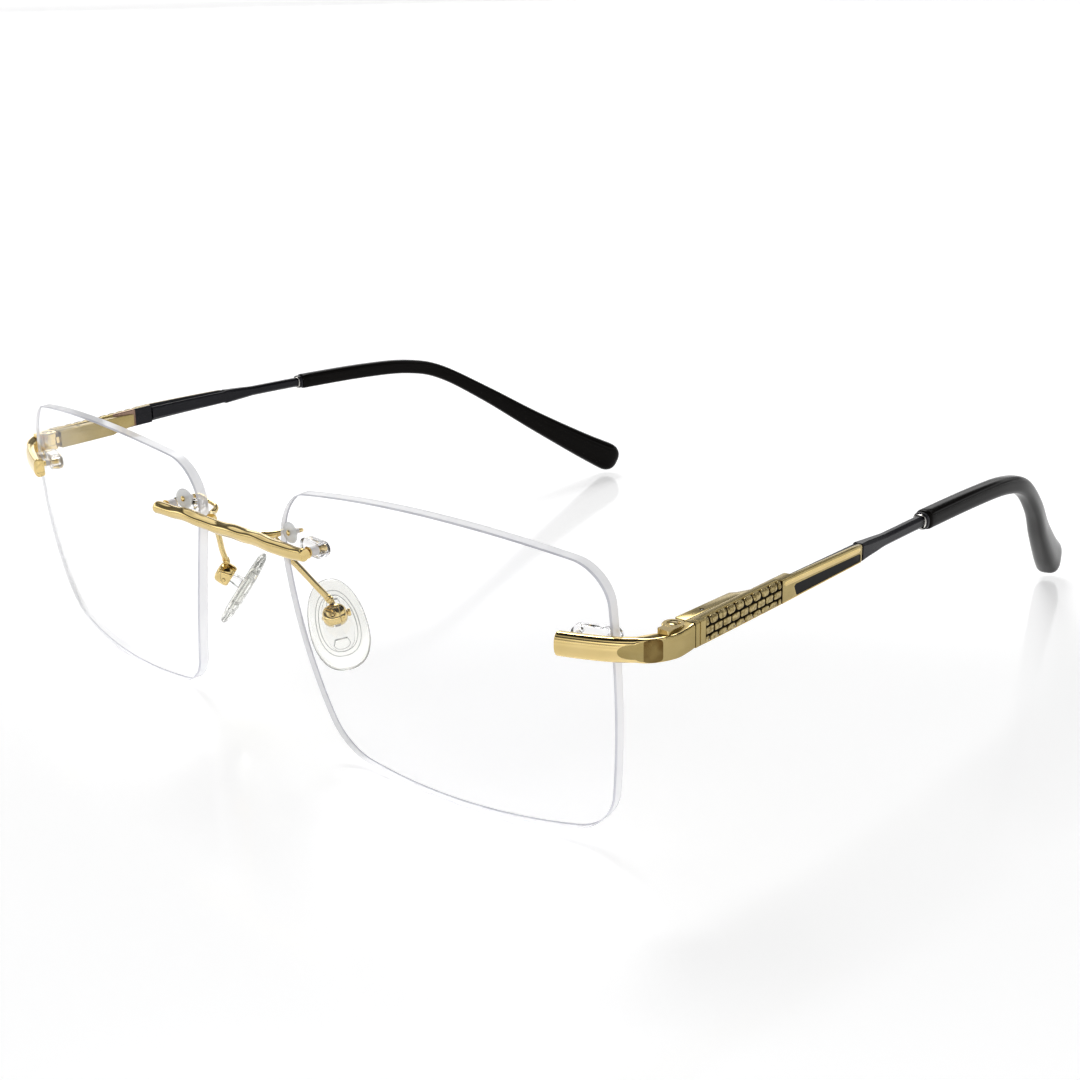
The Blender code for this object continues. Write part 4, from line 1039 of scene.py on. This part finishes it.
def make_temple_front():
    """The gold bar: cut back for the tiles, tinted inside, and with a bed for the long inlay."""
    half = TEMPLE_THICK / 2
    y0, y1 = TILE_Y
    narrow = half - 0.6
    stations = [(JOINT_Y, half - 0.05, 3.1), (JOINT_Y + 0.06, half, 3.2), (13.1, half, 3.2),
                (13.14, half - 0.1, 3.12), (13.26, half - 0.1, 3.12), (13.3, half, 3.2),
                (y0 - 0.05, half, 3.2), (y0, narrow, 3.2)]
    stations += [(y, narrow, 3.2) for y in (17, 20, BRONZE_Y, 24.1, 26, DARK_Y, 28.7)]
    stations += [(y1, narrow, 3.2), (y1 + 0.05, half, 3.2), (INLAY_Y - 0.2, half, 3.2),
                 (INLAY_Y, half, 3.2)]
    stations += [(y, half, 3.2 - (y - INLAY_Y) * 0.037) for y in (34, 37, 40, 43, 46)]
    stations += [(GOLD_END_Y - 0.4, half, 2.6), (GOLD_END_Y, half - 0.1, 2.2)]
    rings = []
    for y, outer, tall in stations:
        inner = -half if y < INLAY_Y else 0.02
        inner += 0.05 if y == JOINT_Y else 0
        rings.append(box_ring(on_temple(y, (inner + outer) / 2, 0), X_AXIS, Z_AXIS, (outer - inner) / 2,
                              tall / 2, min(0.24, (outer - inner) / 3)))
    count = len(rings[0])
    faces = ring_faces(len(rings), count)
    look_of = []
    for number in range(len(faces)):
        row, k = divmod(number, count)
        inside = row < len(stations) - 1 and count // 4 <= k < count * 3 // 4 - 1
        y = stations[row][0] if row < len(stations) - 1 else 0
        look_of.append(2 if inside and y >= DARK_Y else 1 if inside and y >= BRONZE_Y else 0)
    points = [p for ring in rings for p in ring]
    bar = mesh_object("gold_bar_left", points, faces, [SATIN, BRONZE, PLATED], look_of, 25)
    trough = plate("trough", inlay_outline(0.03), ((half - 0.35, 0), (half + 1, 0)), SATIN)
    pair(cut(bar, trough), "gold", "temple_SIDE", "temple_front")
    rail_path = [on_temple(y, half - 0.22, 0.98 - 0.019 * (y - 30))
                 for y in [y1 + 0.1 + 0.3 * k for k in range(62)]]
    steps = len(rail_path) - 1

    def section(share, centre, side, up):
        end = min(share, 1 - share) * steps
        size = math.sqrt(min(1.0, 0.3 + end / 3))
        ring = rounded_ring(centre, X_AXIS, Z_AXIS, 0.27 * size, 0.62 * size, 36)
        for k, p in enumerate(ring):
            p += (p - centre) * (0.05 * math.cos(k * math.pi / 3))
        return ring

    pair(loft("gold_rail_left", sweep_rings(rail_path, section), GOLD, sharp=60), "gold", "temple_SIDE")
    for name, first, last, across, up, slope in (("lower_rib", y1 + 0.1, 47.6, half - 0.04, -1.42, 0.018),
                                                 ("tile_rib", y0 + 0.1, y1, half - 0.16, -1.5, 0.0)):
        line = [on_temple(y, across, up + slope * (y - first))
                for y in [first + (last - first) * k / 40 for k in range(41)]]
        rings = [rounded_ring(p, X_AXIS, Z_AXIS, 0.1, 0.1, 12) for p in line]
        pair(loft("gold_%s_left" % name, rings, GOLD, sharp=60), "gold", "temple_SIDE")


def on_skin(y, s, lift):
    """A point of the temple's outer side: s runs up the face, round the top edge and in along the top."""
    half, top = TEMPLE_THICK / 2, 1.6
    turn = max(0.0, s - (top - SKIN_CORNER)) / SKIN_CORNER
    if turn > math.pi / 2:
        extra = (turn - math.pi / 2) * SKIN_CORNER
        return on_temple(y, half - SKIN_CORNER - extra, top + lift)
    out, up = math.cos(turn), math.sin(turn)
    across = half - SKIN_CORNER + (SKIN_CORNER + lift) * out
    rise = min(s, top - SKIN_CORNER) + (SKIN_CORNER + lift) * up
    return on_temple(y, across, rise)


def add_tile(points, faces, y0, y1, s0, s1, corner):
    """Adds one pillowed tile, whose upper end leans back along the temple."""
    y_mid, s_mid = (y0 + y1) / 2, (s0 + s1) / 2
    outline = [(y + TILE_LEAN * (s - s_mid), s) for y, s in side_outline(y0, y1, s0, s1, corner, 4)]
    levels = ((1.0, -0.32), (1.0, -0.08), (0.95, -0.02), (0.84, 0.01), (0.5, 0.03))
    start, count = len(points), len(outline)
    for scale, lift in levels:
        points += [on_skin(y_mid + (y - y_mid) * scale, s_mid + (s - s_mid) * scale, lift)
                   for y, s in outline]
    peak = len(points)
    points.append(on_skin(y_mid, s_mid, 0.035))
    faces += [[start + k for k in face] for face in ring_faces(len(levels), count, closed_ends=False)]
    faces += [(peak - count + k, peak - count + (k + 1) % count, peak) for k in range(count)]
    faces.append([start + k for k in range(count - 1, -1, -1)])


def make_tiles():
    """Three rows of pillowed tiles laid like bricks: the upper row curls over the top edge like scales."""
    half = TEMPLE_THICK / 2
    ground = [box_ring(on_temple(y, half - 0.48, -0.1), X_AXIS, Z_AXIS, 0.18, 1.4, 0.12)
              for y in [TILE_Y[0] + 0.02 + (TILE_Y[1] - TILE_Y[0] - 0.04) * k / 6 for k in range(7)]]
    pair(loft("tile_ground_left", ground, RECESS), "black_enamel", "temple_SIDE", "tile_panel")
    points, faces = [], []
    first = TILE_Y[0] + 0.08
    last = first + 8 * TILE_PITCH + TILE_WIDE
    half_tile = (TILE_PITCH - 2 * (TILE_PITCH - TILE_WIDE)) / 2
    for k in range(9):
        start = first + k * TILE_PITCH
        add_tile(points, faces, start, start + TILE_WIDE, -0.5, 0.38, 0.2)
    for s0, s1, corner in ((-1.5, -0.72, 0.34), (0.6, 1.85, 0.44)):
        for k in range(8):
            start = first + (k + 0.5) * TILE_PITCH
            add_tile(points, faces, start, start + TILE_WIDE, s0, s1, corner)
        add_tile(points, faces, first, first + half_tile, s0, s1, 0.22)
        add_tile(points, faces, last - half_tile, last, s0, s1, 0.22)
    pair(mesh_object("tile_relief_left", points, faces, [STIPPLE], sharp=50), "gold", "temple_SIDE")


def make_inlay():
    half = TEMPLE_THICK / 2
    levels = ((half - 0.33, 0.0), (half - 0.08, 0.0), (half - 0.04, 0.05))
    inlay = plate("long_inlay_left", inlay_outline(), levels, INLAY)
    pair(inlay, "black_enamel", "temple_SIDE", "black_inlay")


def make_rod():
    """The black inner bar that narrows to a faceted rod and enters the ear tip."""
    half = TEMPLE_THICK / 2
    stations = [(y, -half, -0.04, 2.3 - 0.012 * (y - INLAY_Y))
                for y in (INLAY_Y + 0.1, 36, 40, 44, GOLD_END_Y + 0.05)]
    stations += [(GOLD_END_Y + 0.1, -half, half, 2.5), (50.5, -half, half, 2.3), (52.5, -0.82, 0.82, 2.05),
                 (54.5, -0.75, 0.75, 1.75)]
    stations += [(y, -0.75, 0.75, 1.72) for y in (57, 59, 61, 63, SLEEVE_START_Y - 0.5, SLEEVE_START_Y + 1)]
    rings = []
    for y, inner, outer, tall in stations:
        middle = on_temple(y, (inner + outer) / 2, 0)
        corner = min(0.24 if y < 50 else 0.4, (outer - inner) / 3)
        rings.append(box_ring(middle, X_AXIS, Z_AXIS, (outer - inner) / 2, tall / 2, corner, 1))
    rod = loft("faceted_rod_left", rings, PLATED, sharp=15)
    pair(soften(rod, 0.07, 2, 20), "black_metal", "temple_SIDE", "temple_rod")


def make_sleeve():
    """Acetate ear tip: soft-cornered and slim at the start, then a flattened paddle."""
    line = [p for p in temple_line(10) if p.y > SLEEVE_START_Y + 0.9]
    last, before = line[-1], line[-2]
    ahead = (last - before).normalized()
    start = [temple_at(SLEEVE_START_Y + s) for s in (0, 0.08, 0.25, 0.6)]
    path = start + line + [last + ahead * reach for reach in (0.8, 1.5, 2.0, 2.35, 2.6, 2.72, 2.75)]
    length = [0.0]
    for a, b in zip(path, path[1:]):
        length.append(length[-1] + (b - a).length)
    rings = []
    for i, centre in enumerate(path):
        share = length[i] / length[-1]
        paddle = max(0.0, (share - 0.45) / 0.55) ** 1.5
        end = max(0.0, (share - 0.955) / 0.045)
        close = math.sqrt(max(0.0, 1 - min(end, 0.995) ** 2.4))
        close *= (0.8, 0.9, 0.97, 1.0)[i] if i < 4 else 1.0
        step = path[min(i + 1, len(path) - 1)] - path[max(i - 1, 0)]
        side, up = frame_across(step)
        wide, tall = (1.35 + paddle) * close, (1.4 + 1.9 * paddle) * close
        rings.append(rounded_ring(centre, side, up, wide, tall, 40, 2.9))
    pair(loft("acetate_tip_left", rings, ACETATE, sharp=60), "black_acetate", "temple_SIDE", "ear_tip")


def make_collar():
    """The black ring where the rod enters the ear tip, with a bright lip in front of it."""
    start = SLEEVE_START_Y - 0.85
    profile = ((0.0, 0.92), (0.02, 1.08), (0.12, 1.18), (0.3, 1.22), (0.62, 1.22), (0.68, 1.15))
    rings = [rounded_ring(temple_at(start + y), X_AXIS, Z_AXIS, size, size, 40, 2.6) for y, size in profile]
    collar = loft("black_collar_left", rings, PLATED, sharp=50)
    channel = prism("channel", [temple_at(SLEEVE_START_Y + y) for y in (-2, 2)], X_AXIS, Z_AXIS,
                    0.8, 0.9, 0.3, PLATED)
    pair(cut(collar, channel), "steel", "temple_SIDE", "ear_tip_collar")
    lip = [rounded_ring(temple_at(start - 0.12 + y), X_AXIS, Z_AXIS, size, size, 40, 2.6)
           for y, size in ((0.0, 0.9), (0.03, 1.0), (0.12, 1.03), (0.2, 1.0))]
    ring = loft("bright_lip_left", lip, STEEL, sharp=50)
    bore = prism("lip_bore", [temple_at(start + y) for y in (-1, 1)], X_AXIS, Z_AXIS,
                 0.79, 0.89, 0.3, STEEL)
    pair(cut(ring, bore), "steel", "temple_SIDE")


def dress_cad_nodes():
    """The small hinge parts that stay as CAD solids get their own looks."""
    for side in ("left", "right"):
        for node, look in (("hinge_bush", STEEL), ("hinge_spring", STEEL), ("hinge_core", GOLD)):
            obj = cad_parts[node + "_" + side]
            obj.data.materials.clear()
            obj.data.materials.append(look)


# Stage --------------------------------------------------------------------------------------------

def make_floor():
    """A pale lit sweep that rises far away, with a faint polish."""
    profile = ((0.4, 0.0), (1.5, 0.0), (4.0, 0.0), (6.0, 0.0), (6.8, 0.08), (7.4, 0.3), (7.7, 0.6))
    count = 96
    points = [Vector((0, 0, 0))]
    for radius, z in profile:
        turns = [2 * math.pi * k / count for k in range(count)]
        points += [Vector((radius * math.cos(turn), radius * math.sin(turn), z)) for turn in turns]
    faces = [(0, 1 + k, 1 + (k + 1) % count) for k in range(count)]
    bands = ring_faces(len(profile), count, closed_ends=False)
    faces += [(a + 1, d + 1, c + 1, b + 1) for a, b, c, d in bands]
    mesh = bpy.data.meshes.new("floor")
    mesh.from_pydata(points, [], faces)
    mesh.shade_smooth()
    floor = add_object("floor", mesh)
    look, shader = new_look("pale_floor", (0.82, 0.82, 0.823), 0.1)
    shader.inputs["Specular IOR Level"].default_value = 0.15
    shader.inputs["Emission Color"].default_value = (1, 1, 1, 1)
    shader.inputs["Emission Strength"].default_value = FLOOR_GLOW
    mesh.materials.append(look)
    floor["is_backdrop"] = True


def make_world():
    """A studio dome: soft boxes in rings round the walls, with dark gaps and a dark ceiling to mirror."""
    world = bpy.data.worlds.new("studio")
    world.use_nodes = True
    nodes, links = world.node_tree.nodes, world.node_tree.links
    place = add_node(world, "ShaderNodeTexCoord")
    split = add_node(world, "ShaderNodeSeparateXYZ")
    ramp = add_node(world, "ShaderNodeValToRGB")
    stops = ((0.0, 1.2), (0.2, 1.2), (0.23, 2.7), (0.34, 2.6), (0.37, 0.3), (0.54, 0.15), (0.59, 1.6),
             (0.7, 1.5), (0.75, 0.04), (0.93, 0.03), (1.0, 0.7))
    ramp.color_ramp.elements[0].position = stops[0][0]
    ramp.color_ramp.elements[1].position = stops[-1][0]
    for position, _ in stops[1:-1]:
        ramp.color_ramp.elements.new(position)
    brightest = max(level for _, level in stops)
    for element, (_, level) in zip(ramp.color_ramp.elements, stops):
        element.color = (level / brightest, level / brightest, level / brightest, 1)
    wide = add_node(world, "ShaderNodeMapping", {"Scale": (1, 1, 0.3)})
    panels = add_node(world, "ShaderNodeTexNoise", {"Scale": 2.4, "Detail": 1})
    gaps = add_node(world, "ShaderNodeMapRange",
                    {"From Min": 0.4, "From Max": 0.6, "To Min": 0.65, "To Max": 1.3})
    level = add_node(world, "ShaderNodeMath", {1: brightest * WORLD_LEVEL})
    level.operation = "MULTIPLY"
    links.new(place.outputs["Generated"], split.inputs["Vector"])
    links.new(split.outputs["Z"], ramp.inputs["Fac"])
    links.new(ramp.outputs["Color"], nodes["Background"].inputs["Color"])
    links.new(place.outputs["Generated"], wide.inputs["Vector"])
    links.new(wide.outputs["Vector"], panels.inputs["Vector"])
    links.new(panels.outputs["Fac"], gaps.inputs["Value"])
    links.new(gaps.outputs["Result"], level.inputs[0])
    links.new(level.outputs["Value"], nodes["Background"].inputs["Strength"])
    bpy.context.scene.world = world


def make_sun():
    """A broad soft key light from behind the wearer's right; faint shadows fall towards the viewer."""
    light = bpy.data.lights.new("key", "SUN")
    light.energy = SUN_STRENGTH
    light.angle = SUN_SPREAD
    key = add_object("key", light)
    key.rotation_euler = Vector(SUN_RAYS).to_track_quat("-Z", "Y").to_euler()


def make_camera():
    """The photograph's viewpoint: from the wearer's left front, a little above."""
    turn, drop, roll = CAMERA_TURN, CAMERA_DROP, CAMERA_ROLL
    forward = Vector((-math.sin(turn) * math.cos(drop), math.cos(turn) * math.cos(drop), -math.sin(drop)))
    right = Vector((math.cos(turn), math.sin(turn), 0))
    up = right.cross(forward)
    tilted = right * math.cos(roll) + up * math.sin(roll)
    upright = up * math.cos(roll) - right * math.sin(roll)
    data = bpy.data.cameras.new("camera")
    data.lens = CAMERA_LENS
    data.sensor_width = 36
    data.clip_start = 0.01
    data.clip_end = 50
    camera = add_object("camera", data)
    axes = Matrix((tilted, upright, -forward)).transposed()
    camera.matrix_world = Matrix.Translation(placed(CAMERA_PLACE)) @ axes.to_4x4()
    bpy.context.scene.camera = camera


def write_sizes():
    boxes = {"cad": CAD_BOX, "visual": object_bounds()}
    plain = {name: [[float(x) for x in corner] for corner in box] for name, box in boxes.items()}


for make in (make_lens, make_bar, make_posts, make_plugs, make_foot, make_washer, make_nose_pad,
             make_pad_core, make_pad_box, make_pad_arm, make_endpiece, make_end_pins, make_hinge_screw,
             make_casing, make_temple_front, make_tiles, make_inlay, make_rod, make_sleeve, make_collar,
             dress_cad_nodes, make_floor, make_world, make_sun, make_camera):
    make()
bpy.context.scene.view_settings.view_transform = "Standard"
write_sizes()
